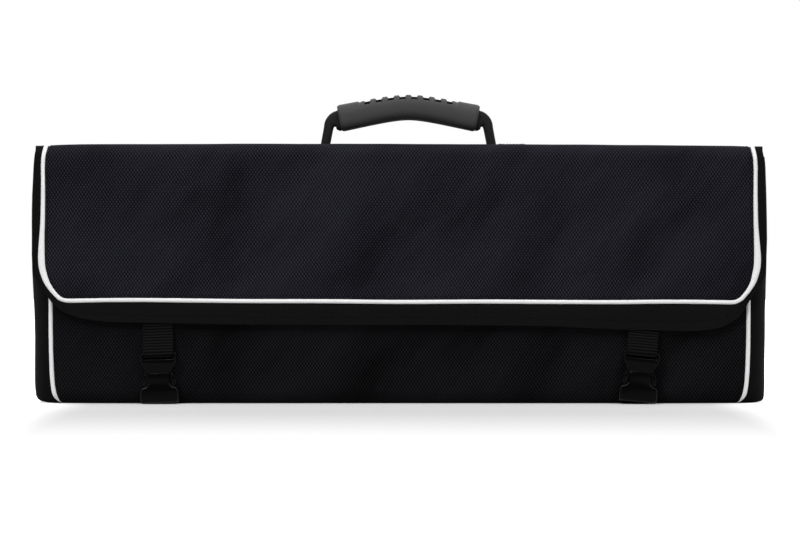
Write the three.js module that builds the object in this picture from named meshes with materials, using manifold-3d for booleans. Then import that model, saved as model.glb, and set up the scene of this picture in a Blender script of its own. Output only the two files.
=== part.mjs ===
// Hard chef knife case: a stiffened fabric box whose top folds back and whose long front flap
// is held down by two side-release buckles, with a carrying handle and knife pockets inside.
// Millimetres. +X is to the right seen from the front, -Y is the front and +Z is up.
// The case stands on z = 0 and the origin is the middle of that footprint.

import * as THREE from 'three';
import { mergeVertices } from 'three/addons/utils/BufferGeometryUtils.js';
import Module from 'manifold-3d';

const wasm = await Module();
wasm.setup();

// Fabric, boards and the space between layers
const coverThick = 1.2;
const boardThick = 2.4;
const liningThick = 0.8;
const layerGap = 0.3;
const pipingRadius = 1.5;

// Body of the case
const seamHalfWidth = 233.4;
const seamDrawIn = 4;
const seamDrawHeight = 30;
const seamDrawPower = 1.6;
const bodyDepth = 64;
const wallHeight = 166.5;
const bottomRadius = 14;
const endBulge = 15.9;
const endCornerRadius = 7;
const endTaperLow = 3.2;
const endTaperHigh = 2.6;
const endWidestHeight = 100;
const endFullness = 2.6;
const endRoundness = 0.6;
const endPadInset = 4;
const endBoardInset = 2.4;
const bindingHeight = 8.5;
const bindingThick = 0.8;

// Lid over the opening
const lidGap = 0.6;
const lidOverhang = 3.1;
const lidBorderWidth = 5;
const lidBorderCrown = 5.5;

// Front flap
const flapLength = 103.9;
const flapFlare = 3.9;
const flapCornerWidth = 15.9;
const flapCornerHeight = 21.8;
const flapCornerRadius = 9;
const flapFlareRadius = 16;
const borderSide = 4.8;
const borderDrop = 15;
const borderCornerDrop = 5.2;
const borderFootInset = 18.5;
const borderRadius = 14;
const flapSag = 3;
const flapSagReach = 14;
const flapSagSpread = 28;
const flapBoardMargin = 1;

// Carrying handle
const handleX = 6;
const handleSpan = 112.8;
const gripLength = 96.7;
const gripAboveLid = 25;
const gripArch = 5.6;
const gripMidThick = 12.8;
const gripEndThick = 16.4;
const gripMidDepth = 26;
const gripEndDepth = 28.5;
const gripSquareness = 2.5;
const ribCount = 9;
const ribPitch = 8;
const ribWidth = 3.7;
const ribRise = 1.5;
const ribSlope = 0.6;
const ribTopShare = 0.55;
const gripEndLength = 4;
const gripEndDraw = 0.12;
const handleStrapWidth = 20;
const handleStrapThick = 4.4;
const handleLegThick = 5.4;
const legShoulder = 6.2;
const legShoulderLift = 0.6;
const legBendRadius = 5.2;
const footLength = 28;
const footThick = 2;
const footInset = 4;

// Straps and buckles
const strapInset = 73;
const strapWidth = 20;
const strapThick = 1.4;
const strapLayerGap = 0.3;
const strapSeamBelow = 2.2;
const strapFold = 15;
const leftLean = -2;
const rightLean = 5.5;
const buckleFloorGap = 0.4;
const buckleThick = 7.5;
const buckleHalfWidth = 12.4;
const socketPlate = 1.6;
const socketSide = 1.4;
const socketBottom = -20.5;
const socketShoulder = -9.6;
const socketMouth = -1;
const socketThroatHalf = 7.4;
const socketHollowFloor = -14.4;
const socketCornerCut = 1;
const socketShoulderRise = 4.6;
const socketRecessRim = 0.6;
const socketRecessFloor = 0.9;
const plugThick = 6.4;
const plugBodyTop = 8.4;
const plugProngTop = 14;
const plugProngThick = 1.4;
const plugNeckHalf = 6.5;
const plugBarHeight = 11.9;
const plugBarRadius = 1.2;
const plugSlotPlay = 0.4;
const plugNeckHeight = 3;
const plugShoulderHeight = 6;
const tongueHalf = 3.1;
const tongueThick = 3;
const tongueEnd = -13.2;
const armThick = 3.6;
const armPadThick = 4;
const armCore = [
  [3.9, -0.3], [6.4, -0.3], [9.6, -2.4], [11.2, -4.6], [11.7, -7.2], [10.4, -9.4], [9.7, -10.4],
  [9.6, -13], [8.2, -13.7], [7.5, -12.5], [7.9, -9], [8.1, -5.6], [6.6, -3.2],
];
const armPad = [[9, -2], [9.6, -2.4], [11.2, -4.6], [11.7, -7.2], [10.6, -9.2], [9.2, -8.6], [9, -5.6]];
const tabThick = 1.2;
const tabBarHeight = -17.5;
const tabBarDepth = -2.5;
const tabBarRadius = 1.1;
const tabTop = 4;
const tabHook = 1.4;

// Inside the case
const sheetThick = 1.4;
const channelRise = 1.6;
const channelCount = 4;
const bandThick = 1.6;
const bandWidth = 38;
const sheetLength = 250;
const sheetAboveFloor = 11;
const sheetBelowRim = 14.5;
const sheetEndGap = 0.4;
const bandInset = 90;
const dividerEndGap = 5.2;
const dividerBelowRim = 16.5;
const dividerRadius = 12;
const endBoardRadius = 6;
const tapeHalfDepth = 9;

// Values that follow from the sizes above
const halfDepth = bodyDepth / 2;
const stack = coverThick + boardThick + liningThick + 2 * layerGap;
const innerHalfDepth = halfDepth - stack;
const lidLow = wallHeight + lidGap;
const lidTop = lidLow + stack;
const flapBack = -(halfDepth + layerGap);
const flapFront = flapBack - stack;
const lidFront = flapBack + layerGap;
const lidBack = halfDepth;
const handleY = (flapFront + lidBack) / 2;
const tabSpace = tabThick + 2 * layerGap;
const buckleY = -(halfDepth + tabSpace + buckleThick / 2);
const frontmost = buckleY - buckleThick / 2;
const floorTop = stack;
const lidSeamHalfWidth = seamHalfWidth + lidOverhang;
const lidBorderHalfWidth = lidSeamHalfWidth + lidBorderWidth;
const flapSeamWide = lidSeamHalfWidth + flapFlare;
const flapSeamCorner = flapSeamWide - flapCornerWidth;
const flapSeamLow = lidTop - flapLength;
const flapSeamWideHeight = flapSeamLow + flapCornerHeight;
const borderLow = flapSeamLow - borderDrop;
const borderFoot = flapSeamCorner - borderFootInset;
const gripMidHeight = lidTop + gripAboveLid;
const strapTop = flapSeamLow - strapSeamBelow;
const endHalfWidth = seamHalfWidth + endBulge;
const strapX = seamHalfWidth - strapInset;
const endBoardOuter = seamHalfWidth - endBoardInset;
const endBoardInner = endBoardOuter - boardThick;
const endLiningInner = endBoardInner - layerGap - liningThick;
const wallPanelHalf = endLiningInner - layerGap;
const sheetLow = floorTop + sheetAboveFloor;
const sheetHigh = wallHeight - sheetBelowRim;
const dividerHalfWidth = wallPanelHalf - dividerEndGap;
const dividerHigh = wallHeight - dividerBelowRim;

// Plain helpers
const clamp01 = (t) => Math.min(1, Math.max(0, t));
const smooth = (t) => clamp01(t) ** 2 * (3 - 2 * clamp01(t));
const sample = (count, f) => Array.from({ length: count + 1 }, (_, i) => f(i / count));
const axisX = new THREE.Vector3(1, 0, 0);
const axisY = new THREE.Vector3(0, 1, 0);
const axisZ = new THREE.Vector3(0, 0, 1);

// An open route through given points, each one a step of the extrusion along it.
class Route extends THREE.Curve {
  constructor(points) {
    super();
    this.points = points;
    this.steps = points.length - 1;
  }

  getPoint(t, target = new THREE.Vector3()) {
    const place = clamp01(t) * this.steps;
    const low = Math.min(this.steps - 1, Math.floor(place));
    return target.lerpVectors(this.points[low], this.points[low + 1], place - low);
  }

  getPointAt(t, target) {
    return this.getPoint(t, target);
  }

  getTangentAt(t, target = new THREE.Vector3()) {
    const near = Math.round(clamp01(t) * this.steps);
    const before = this.points[Math.max(0, near - 1)];
    const after = this.points[Math.min(this.steps, near + 1)];
    return target.subVectors(after, before).normalize();
  }
}

function alongRoute(section, points) {
  const route = new Route(points);
  return new THREE.ExtrudeGeometry(section, { extrudePath: route, steps: route.steps });
}

function roundSection(radius, sides) {
  const ring = sample(sides, (t) => t * 2 * Math.PI).slice(0, -1);
  return new THREE.Shape(ring.map((a) => new THREE.Vector2(radius * Math.cos(a), radius * Math.sin(a))));
}

const cord = (points, radius) => alongRoute(roundSection(radius, 8), points);

// An open outline through corners given as [a, b, radius], with an arc at each rounded corner.
function filleted(corners, arcSteps = 5) {
  const points = [];
  corners.forEach(([a, b, radius], i) => {
    const here = new THREE.Vector2(a, b);
    if (!radius || i === 0 || i === corners.length - 1) {
      points.push(here);
      return;
    }
    const back = new THREE.Vector2(corners[i - 1][0] - a, corners[i - 1][1] - b).normalize();
    const ahead = new THREE.Vector2(corners[i + 1][0] - a, corners[i + 1][1] - b).normalize();
    const halfAngle = Math.acos(Math.min(1, Math.max(-1, back.dot(ahead)))) / 2;
    const reach = radius / Math.tan(halfAngle);
    const start = here.clone().addScaledVector(back, reach);
    const end = here.clone().addScaledVector(ahead, reach);
    const bisector = back.clone().add(ahead).normalize();
    const centre = here.clone().addScaledVector(bisector, radius / Math.sin(halfAngle));
    const from = start.clone().sub(centre).angle();
    const turn = Math.atan2(
      start.clone().sub(centre).cross(end.clone().sub(centre)),
      start.clone().sub(centre).dot(end.clone().sub(centre)),
    );
    for (const t of sample(arcSteps, (s) => s)) {
      const angle = from + turn * t;
      points.push(new THREE.Vector2(Math.cos(angle), Math.sin(angle)).multiplyScalar(radius).add(centre));
    }
  });
  return points;
}

// The same open outline moved sideways, to the left of its direction.
function shifted(points, distance) {
  return points.map((point, i) => {
    const before = points[Math.max(0, i - 1)];
    const after = points[Math.min(points.length - 1, i + 1)];
    const back = point.clone().sub(before).normalize();
    const ahead = after.clone().sub(point).normalize();
    if (i === 0) back.copy(ahead);
    if (i === points.length - 1) ahead.copy(back);
    const along = back.clone().add(ahead).normalize();
    const stretch = 1 / Math.max(0.5, along.dot(ahead));
    return new THREE.Vector2(point.x - along.y * distance * stretch, point.y + along.x * distance * stretch);
  });
}

// Extrusions: "facing" has its outline in X and Z and grows towards the front from y = back,
// "across" has its outline in Y and Z and grows along X, and "upward" has it in X and Y.
const extruded = (points, depth) => new THREE.ExtrudeGeometry(
  new THREE.Shape(points), { depth, bevelEnabled: false },
);

function facing(points, thickness, back) {
  const geometry = extruded(points, thickness);
  geometry.applyMatrix4(new THREE.Matrix4().makeBasis(axisX, axisZ, axisY.clone().negate()));
  return geometry.translate(0, back, 0);
}

function across(points, low, high) {
  const geometry = extruded(points, high - low);
  geometry.applyMatrix4(new THREE.Matrix4().makeBasis(axisY, axisZ, axisX));
  return geometry.translate(low, 0, 0);
}

const upward = (points, low, high) => extruded(points, high - low).translate(0, 0, low);

function block(x0, x1, y0, y1, z0, z1) {
  const geometry = new THREE.BoxGeometry(x1 - x0, y1 - y0, z1 - z0);
  return geometry.translate((x0 + x1) / 2, (y0 + y1) / 2, (z0 + z1) / 2);
}

const outlineOf = (list) => list.map(([a, b]) => new THREE.Vector2(a, b));
const rectangle = (a0, a1, b0, b1) => outlineOf([[a0, b0], [a1, b0], [a1, b1], [a0, b1]]);

function roundedRectangle(a0, a1, b0, b1, radius) {
  const middle = (a0 + a1) / 2;
  const start = [middle, b0, 0];
  const corners = [[a1, b0], [a1, b1], [a0, b1], [a0, b0]].map((corner) => [...corner, radius]);
  return filleted([start, ...corners, start]).slice(0, -1);
}

// Joins and cuts
function toSolid(geometry) {
  const bare = geometry.clone();
  bare.deleteAttribute('normal');
  bare.deleteAttribute('uv');
  const merged = mergeVertices(bare, 1e-4);
  return new wasm.Manifold(new wasm.Mesh({
    numProp: 3,
    vertProperties: new Float32Array(merged.attributes.position.array),
    triVerts: new Uint32Array(merged.index.array),
  }));
}

function toGeometry(solid) {
  const mesh = solid.getMesh();
  const geometry = new THREE.BufferGeometry();
  geometry.setAttribute('position', new THREE.BufferAttribute(mesh.vertProperties, 3));
  geometry.setIndex(new THREE.BufferAttribute(mesh.triVerts, 1));
  return geometry;
}

function shaped(first, added = [], removed = []) {
  let solid = toSolid(first);
  added.forEach((geometry) => { solid = solid.add(toSolid(geometry)); });
  removed.forEach((geometry) => { solid = solid.subtract(toSolid(geometry)); });
  return toGeometry(solid);
}

// A closed loft through rings of points, capped at both ends.
function loft(rings) {
  const size = rings[0].length;
  const positions = rings.flat().flatMap((p) => [p.x, p.y, p.z]);
  const index = [];
  for (let r = 0; r < rings.length - 1; r++) {
    for (let k = 0; k < size; k++) {
      const a = r * size + k;
      const b = r * size + ((k + 1) % size);
      index.push(a, b, b + size, a, b + size, a + size);
    }
  }
  const last = (rings.length - 1) * size;
  for (let k = 1; k < size - 1; k++) {
    index.push(0, k + 1, k);
    index.push(last, last + k, last + k + 1);
  }
  const geometry = new THREE.BufferGeometry();
  geometry.setAttribute('position', new THREE.BufferAttribute(new Float32Array(positions), 3));
  geometry.setIndex(index);
  return geometry;
}

// A sheet between two surfaces given over u and v from 0 to 1, closed round its four edges.
function skin(columns, rows, outer, inner) {
  const rings = [];
  for (const v of sample(rows, (t) => t)) {
    const front = sample(columns, (u) => outer(u, v));
    const back = sample(columns, (u) => inner(u, v)).reverse();
    rings.push([...front, ...back]);
  }
  const size = rings[0].length;
  const geometry = loft(rings);
  const body = Array.from(geometry.index.array).slice(0, (rings.length - 1) * size * 6);
  for (const [ring, turn] of [[0, 1], [rings.length - 1, 0]]) {
    for (let k = 0; k < columns; k++) {
      const [a, b] = [ring * size + k, ring * size + k + 1];
      const [c, d] = [ring * size + size - 1 - k, ring * size + size - 2 - k];
      if (turn) body.push(a, c, b, b, c, d);
      else body.push(a, b, c, b, d, c);
    }
  }
  geometry.setIndex(body);
  return geometry;
}

// Turns a closed mesh right side out when its rings ran the other way round.
function outward(geometry) {
  const p = geometry.attributes.position;
  const index = geometry.index.array;
  const [a, b, c] = [new THREE.Vector3(), new THREE.Vector3(), new THREE.Vector3()];
  let volume = 0;
  for (let i = 0; i < index.length; i += 3) {
    a.fromBufferAttribute(p, index[i]);
    b.fromBufferAttribute(p, index[i + 1]);
    c.fromBufferAttribute(p, index[i + 2]);
    volume += a.dot(b.cross(c));
  }
  if (volume < 0) geometry.setIndex(Array.from(index).reverse());
  return geometry;
}

function mirrored(geometry) {
  const flipped = geometry.clone().applyMatrix4(new THREE.Matrix4().makeScale(-1, 1, 1));
  flipped.deleteAttribute('normal');
  flipped.deleteAttribute('uv');
  return outward(mergeVertices(flipped, 1e-4));
}

// Materials
const finish = (color, roughness) => ({ color, roughness, metalness: 0 });
const finishes = {
  nylon: finish(0x1b1b24, 0.85),
  plainFabric: finish(0x121214, 0.9),
  piping: finish(0xf2f2ee, 0.7),
  board: finish(0x3a3a3c, 0.6),
  lining: finish(0x232326, 0.9),
  foam: finish(0x2c2c2e, 0.95),
  webbing: finish(0x0f0f10, 0.85),
  elastic: finish(0x161618, 0.8),
  buckle: finish(0x141415, 0.45),
  rubber: finish(0x3b3c3e, 0.55),
};

const caseGroup = new THREE.Group();
function place(name, finishName, geometry, parent = caseGroup) {
  const mesh = new THREE.Mesh(geometry, new THREE.MeshStandardMaterial(finishes[finishName]));
  mesh.name = name;
  parent.add(mesh);
  return mesh;
}

const bothSides = [['left', -1], ['right', 1]];
const sideOf = (geometry, sign) => (sign < 0 ? mirrored(geometry) : geometry);

// The seam between the wrap and the ends draws in a little towards the bottom.
const seamAt = (z) => seamHalfWidth - seamDrawIn * clamp01(1 - z / seamDrawHeight) ** seamDrawPower;

// The wrap of the body seen from the side: down the front, round the bend and under the case,
// as [y, z] points with the way in towards the case. The back is the same with y turned round.
function wrapPath(inset, top) {
  const bend = bottomRadius - inset;
  const centre = new THREE.Vector2(-halfDepth + bottomRadius, bottomRadius);
  const arc = sample(7, (t) => {
    const angle = Math.PI + (t * Math.PI) / 2;
    return new THREE.Vector2(centre.x + bend * Math.cos(angle), centre.y + bend * Math.sin(angle));
  });
  const levels = [top, seamDrawHeight, (seamDrawHeight + bottomRadius) / 2];
  const wall = levels.map((z) => new THREE.Vector2(-halfDepth + inset, z));
  return [...wall, ...arc];
}

function wrapPanel(top, mirror) {
  const outside = wrapPath(0, top);
  const inside = wrapPath(coverThick, top);
  const last = outside.length - 1;
  const edge = (z) => seamAt(z) - pipingRadius - layerGap;
  const at = (path) => (u, v) => {
    const row = Math.round(v * last);
    const half = edge(outside[row].y);
    return new THREE.Vector3((2 * u - 1) * half, path[row].x * mirror, path[row].y);
  };
  return outward(skin(1, last, at(outside), at(inside)));
}

place('front_cover', 'nylon', wrapPanel(wallHeight - bindingHeight - layerGap, 1));
place('back_cover', 'nylon', wrapPanel(wallHeight - bindingHeight - layerGap, -1));
{
  const half = seamAt(0) - pipingRadius - layerGap;
  const reach = halfDepth - bottomRadius - layerGap;
  place('bottom_cover', 'nylon', block(-half, half, -reach, reach, 0, coverThick));
}

// White piping runs down the front, under the case and up the back along each end seam.
function bodyPiping() {
  const half = wrapPath(pipingRadius, wallHeight - layerGap);
  const whole = [...half, ...half.slice().reverse().map((p) => new THREE.Vector2(-p.x, p.y))];
  return cord(whole.map((p) => new THREE.Vector3(seamAt(p.y), p.x, p.y)), pipingRadius);
}

// Each end bulges out between its seams, with a small radius along the bottom.
function endCentreAt(z) {
  const low = endTaperLow * clamp01(1 - z / endWidestHeight) ** 2;
  const high = endTaperHigh * clamp01((z - endWidestHeight) / (wallHeight - endWidestHeight)) ** 2;
  const below = clamp01(1 - z / endCornerRadius);
  return endHalfWidth - low - high - endCornerRadius * (1 - Math.sqrt(1 - below ** 2));
}

function endDepthAt(z, inset) {
  const bend = bottomRadius - inset;
  if (z >= bottomRadius) return halfDepth - inset;
  return halfDepth - bottomRadius + Math.sqrt(Math.max(0, bend ** 2 - (bottomRadius - z) ** 2));
}

const endRows = [
  ...[0, 0.06, 0.16, 0.32, 0.57, 1].map((share) => share * bottomRadius), seamDrawHeight,
  (seamDrawHeight + endWidestHeight) / 2, endWidestHeight, (endWidestHeight + wallHeight) / 2, wallHeight,
];

function endSurface(depthInset, low, xInset, seamInset) {
  return (u, v) => {
    const across01 = Math.sin((u - 0.5) * Math.PI);
    const z = Math.max(low, endRows[Math.round(v * (endRows.length - 1))]);
    const y = across01 * endDepthAt(z, depthInset);
    const edge = seamAt(z) + seamInset;
    const swell = (1 - Math.abs(across01) ** endFullness) ** endRoundness;
    return new THREE.Vector3(edge + (endCentreAt(z) - edge) * swell - xInset, y, z);
  };
}

const gussetEdge = pipingRadius + layerGap;
const endColumns = 14;
const gusset = outward(skin(
  endColumns,
  endRows.length - 1,
  endSurface(0, 0, 0, gussetEdge + coverThick),
  endSurface(0, 0, coverThick, gussetEdge + coverThick),
));

const padFace = endSurface(endPadInset, endPadInset, coverThick + 3 * layerGap, gussetEdge + coverThick);
const padBack = (u, v) => {
  const face = padFace(u, v);
  return new THREE.Vector3(endBoardOuter + layerGap, face.y, face.z);
};
const endPad = outward(skin(endColumns, endRows.length - 1, padFace, padBack));

for (const [side, sign] of bothSides) {
  place(`${side}_body_piping`, 'piping', sideOf(bodyPiping(), sign));
  place(`${side}_end_gusset`, 'plainFabric', sideOf(gusset, sign));
  place(`${side}_end_pad`, 'foam', sideOf(endPad, sign));
}

// Boards that make the case hard
const boardHalf = endBoardInner - layerGap;
const boardFront = -(halfDepth - coverThick - layerGap);
const boardTop = wallHeight - bindingThick - layerGap;
const endBoardHalfDepth = innerHalfDepth - layerGap;
const wallBoard = (y) => block(-boardHalf, boardHalf, y, y + boardThick, bottomRadius, boardTop);
place('front_board', 'board', wallBoard(boardFront));
place('back_board', 'board', wallBoard(-boardFront - boardThick));
{
  const low = coverThick + layerGap;
  const half = seamAt(0) - pipingRadius - layerGap;
  const reach = halfDepth - bottomRadius;
  place('bottom_board', 'board', block(-half, half, -reach, reach, low, low + boardThick));
}
const endOutline = roundedRectangle(
  -endBoardHalfDepth, endBoardHalfDepth, floorTop + layerGap, wallHeight - layerGap, endBoardRadius,
);
for (const [side, sign] of bothSides) {
  const board = across(endOutline, endBoardInner, endBoardOuter);
  place(`${side}_end_board`, 'board', sideOf(board, sign));
  const face = across(endOutline, endLiningInner, endBoardInner - layerGap);
  place(`${side}_end_lining`, 'lining', sideOf(face, sign));
}

// One lining lies on the front wall, the floor and the back wall.
{
  const top = wallHeight - bindingHeight - layerGap;
  const outer = filleted([
    [-innerHalfDepth - liningThick, top, 0],
    [-innerHalfDepth - liningThick, floorTop - liningThick, bottomRadius - stack + liningThick],
    [innerHalfDepth + liningThick, floorTop - liningThick, bottomRadius - stack + liningThick],
    [innerHalfDepth + liningThick, top, 0],
  ]);
  const inner = shifted(outer, liningThick).reverse();
  place('lining', 'lining', across([...outer, ...inner], -wallPanelHalf, wallPanelHalf));
}

// A folded binding closes the top edge of the front and back walls.
function edgeBinding(sign) {
  const [outside, inside] = [halfDepth, innerHalfDepth];
  const low = wallHeight - bindingHeight;
  const outline = [
    [outside, low], [outside, wallHeight], [inside, wallHeight], [inside, low],
    [inside + bindingThick, low], [inside + bindingThick, wallHeight - bindingThick],
    [outside - bindingThick, wallHeight - bindingThick], [outside - bindingThick, low],
  ];
  const points = outline.map(([y, z]) => new THREE.Vector2(y * sign, z));
  return across(sign > 0 ? points : points.reverse(), -boardHalf, boardHalf);
}
place('front_edge_binding', 'plainFabric', edgeBinding(-1));
place('back_edge_binding', 'plainFabric', edgeBinding(1));

// Knife pockets: a sheet with swelling channels that lie along the case, and an elastic band
// beside it that takes the knife handles.
function pocketSheet(height) {
  const pitch = height / channelCount;
  const crest = sample(channelCount * 6, (t) => {
    const swell = Math.sin(((t * height) / pitch) * Math.PI) ** 2;
    return new THREE.Vector2(sheetThick + channelRise * swell, t * height);
  });
  return [...crest, new THREE.Vector2(0, height), new THREE.Vector2(0, 0)];
}

function fixedSheet(sign, low, high, x0, x1) {
  const wall = innerHalfDepth - layerGap;
  const points = pocketSheet(high - low).map((p) => new THREE.Vector2(sign * (wall - p.x), low + p.y));
  return across(sign > 0 ? points.reverse() : points, x0, x1);
}
const sheetStart = wallPanelHalf - sheetEndGap - sheetLength;
const bandStart = -wallPanelHalf + bandInset;
for (const [wallName, sign] of [['front', -1], ['back', 1]]) {
  const geometry = fixedSheet(sign, sheetLow, sheetHigh, sheetStart, sheetStart + sheetLength);
  place(`${wallName}_pocket_sheet`, 'lining', geometry);
  const near = sign * (innerHalfDepth - layerGap);
  const far = near - sign * bandThick;
  const [y0, y1] = [Math.min(near, far), Math.max(near, far)];
  const band = block(bandStart, bandStart + bandWidth, y0, y1, sheetLow, sheetHigh);
  place(`${wallName}_elastic_band`, 'elastic', band);
}

// The divider page stands on a hinge tape along the middle of the floor.
const tapeTop = floorTop + layerGap + liningThick;
place('divider_hinge_tape', 'plainFabric', block(
  -dividerHalfWidth, dividerHalfWidth, -tapeHalfDepth, tapeHalfDepth, floorTop + layerGap, tapeTop,
));
{
  const low = tapeTop + 2 * layerGap;
  const outer = roundedRectangle(-dividerHalfWidth, dividerHalfWidth, low, dividerHigh, dividerRadius);
  const rim = bindingThick + layerGap;
  const boardOutline = roundedRectangle(
    -dividerHalfWidth + rim, dividerHalfWidth - rim, low + rim, dividerHigh - rim, dividerRadius - rim,
  );
  place('divider_board', 'board', facing(boardOutline, boardThick, boardThick / 2));
  const lip = bindingHeight;
  const bindingHalf = boardThick / 2 + layerGap + bindingThick;
  const window = roundedRectangle(
    -dividerHalfWidth + lip, dividerHalfWidth - lip, low + lip, dividerHigh - lip, bindingThick,
  );
  const slot = roundedRectangle(
    -dividerHalfWidth + bindingThick, dividerHalfWidth - bindingThick,
    low + bindingThick, dividerHigh - bindingThick, dividerRadius - bindingThick,
  );
  const body = facing(outer, 2 * bindingHalf, bindingHalf);
  place('divider_binding', 'plainFabric', shaped(body, [], [
    facing(window, 2 * bindingHalf + 2, bindingHalf + 1),
    facing(slot, boardThick + 2 * layerGap, boardThick / 2 + layerGap),
  ]));
  const [sheetFrom, sheetTo] = [low + lip + layerGap, dividerHigh - lip - layerGap];
  for (const [name, sign] of [['front', -1], ['back', 1]]) {
    const start = boardThick / 2 + layerGap;
    const points = pocketSheet(sheetTo - sheetFrom)
      .map((p) => new THREE.Vector2(sign * (start + p.x), sheetFrom + p.y));
    const half = dividerHalfWidth - lip - layerGap;
    place(`divider_${name}_sheet`, 'lining', across(sign > 0 ? points : points.reverse(), -half, half));
  }
}

// The lid: cover, board and lining, with piping and a plain border at each end.
const lidCoverHalf = lidSeamHalfWidth - pipingRadius - layerGap;
{
  const lidLayer = (half, low, high) => block(-half, half, lidFront, lidBack, low, high);
  const top = lidTop - coverThick - layerGap;
  const half = lidCoverHalf - layerGap;
  place('lid_cover', 'nylon', lidLayer(lidCoverHalf, lidTop - coverThick, lidTop));
  place('lid_board', 'board', lidLayer(half, top - boardThick, top));
  place('lid_lining', 'lining', lidLayer(half, lidLow, lidLow + liningThick));
}
function lidBorder() {
  const inner = lidSeamHalfWidth + pipingRadius + layerGap;
  const middle = (lidFront + lidBack) / 2;
  const reach = (lidBack - lidFront) / 2;
  const edge = sample(10, (t) => {
    const s = 2 * t - 1;
    return new THREE.Vector2(lidBorderHalfWidth + lidBorderCrown * (1 - s * s), middle + reach * s);
  });
  const ends = [lidFront, lidBack].map((y) => new THREE.Vector2(inner, y));
  return upward([ends[0], ...edge, ends[1]], lidLow, lidTop - layerGap);
}
function lidPiping() {
  const z = lidTop - pipingRadius;
  const ends = [lidFront, lidBack].map((y) => new THREE.Vector3(lidSeamHalfWidth, y, z));
  return cord(sample(4, (t) => ends[0].clone().lerp(ends[1], t)), pipingRadius);
}
for (const [side, sign] of bothSides) {
  place(`${side}_lid_border`, 'plainFabric', sideOf(lidBorder(), sign));
  place(`${side}_lid_piping`, 'piping', sideOf(lidPiping(), sign));
}

// The front flap: the seam route goes down one side, across and up the other.
const seamRight = [
  [flapSeamCorner, flapSeamLow, flapCornerRadius],
  [flapSeamWide, flapSeamWideHeight, flapFlareRadius],
  [lidSeamHalfWidth, lidTop, 0],
];
const flipped = (corners) => corners.map(([x, z, radius]) => [-x, z, radius]).reverse();
const flapSeam = filleted([...flipped(seamRight), ...seamRight]);
const borderRight = [
  [borderFoot, borderLow, borderRadius],
  [flapSeamCorner + borderCornerDrop, flapSeamLow - borderCornerDrop, borderRadius],
  [flapSeamWide + borderSide, flapSeamWideHeight - borderSide / 2, flapFlareRadius],
  [lidSeamHalfWidth + borderSide, lidTop, 0],
];
const borderEdge = filleted([...flipped(borderRight), ...borderRight]);

// The border hangs lower round the right-hand strap.
const sagFull = strapX - flapSagReach;
const sagStart = sagFull - flapSagSpread;
function sagged(x, z) {
  const rise = smooth((x - sagStart) / flapSagSpread);
  const fall = 1 - smooth((x - borderFoot) / (flapSeamWide - borderFoot));
  const near = clamp01(1 - (z - borderLow) / (flapSeamWideHeight - borderLow));
  return z - flapSag * rise * fall * near;
}

const seamGap = pipingRadius + layerGap;
const coverEdge = shifted(flapSeam, seamGap);
const flapPlane = flapBack - stack + coverThick;
place('flap_cover', 'nylon', facing(coverEdge, coverThick, flapPlane));
place('flap_board', 'board', facing(
  shifted(flapSeam, seamGap + flapBoardMargin), boardThick, flapBack - liningThick - layerGap,
));
place('flap_lining', 'lining', facing(coverEdge, liningThick, flapBack));
{
  const lower = [];
  borderEdge.forEach((point, i) => {
    lower.push(point);
    const next = borderEdge[i + 1];
    if (next && next.x - point.x > borderFoot) {
      const stop = next.x - borderRadius / 4;
      sample(12, (t) => sagStart + (stop - sagStart) * t)
        .forEach((x) => lower.push(new THREE.Vector2(x, point.y)));
    }
  });
  const outer = lower.map((p) => new THREE.Vector2(p.x, sagged(p.x, p.y)));
  const inner = shifted(flapSeam, -seamGap);
  place('flap_border', 'plainFabric', facing([...outer, ...inner.reverse()], coverThick, flapPlane));
}
{
  const y = flapFront + pipingRadius;
  const route = [];
  flapSeam.forEach((p, i) => {
    const next = flapSeam[i + 1];
    route.push(new THREE.Vector3(p.x, y, p.y));
    const span = next ? next.distanceTo(p) : 0;
    const pieces = Math.floor(span / 60);
    for (let k = 1; k <= pieces; k++) {
      const between = p.clone().lerp(next, k / (pieces + 1));
      route.push(new THREE.Vector3(between.x, y, between.y));
    }
  });
  place('flap_piping', 'piping', cord(route, pipingRadius));
}

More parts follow.
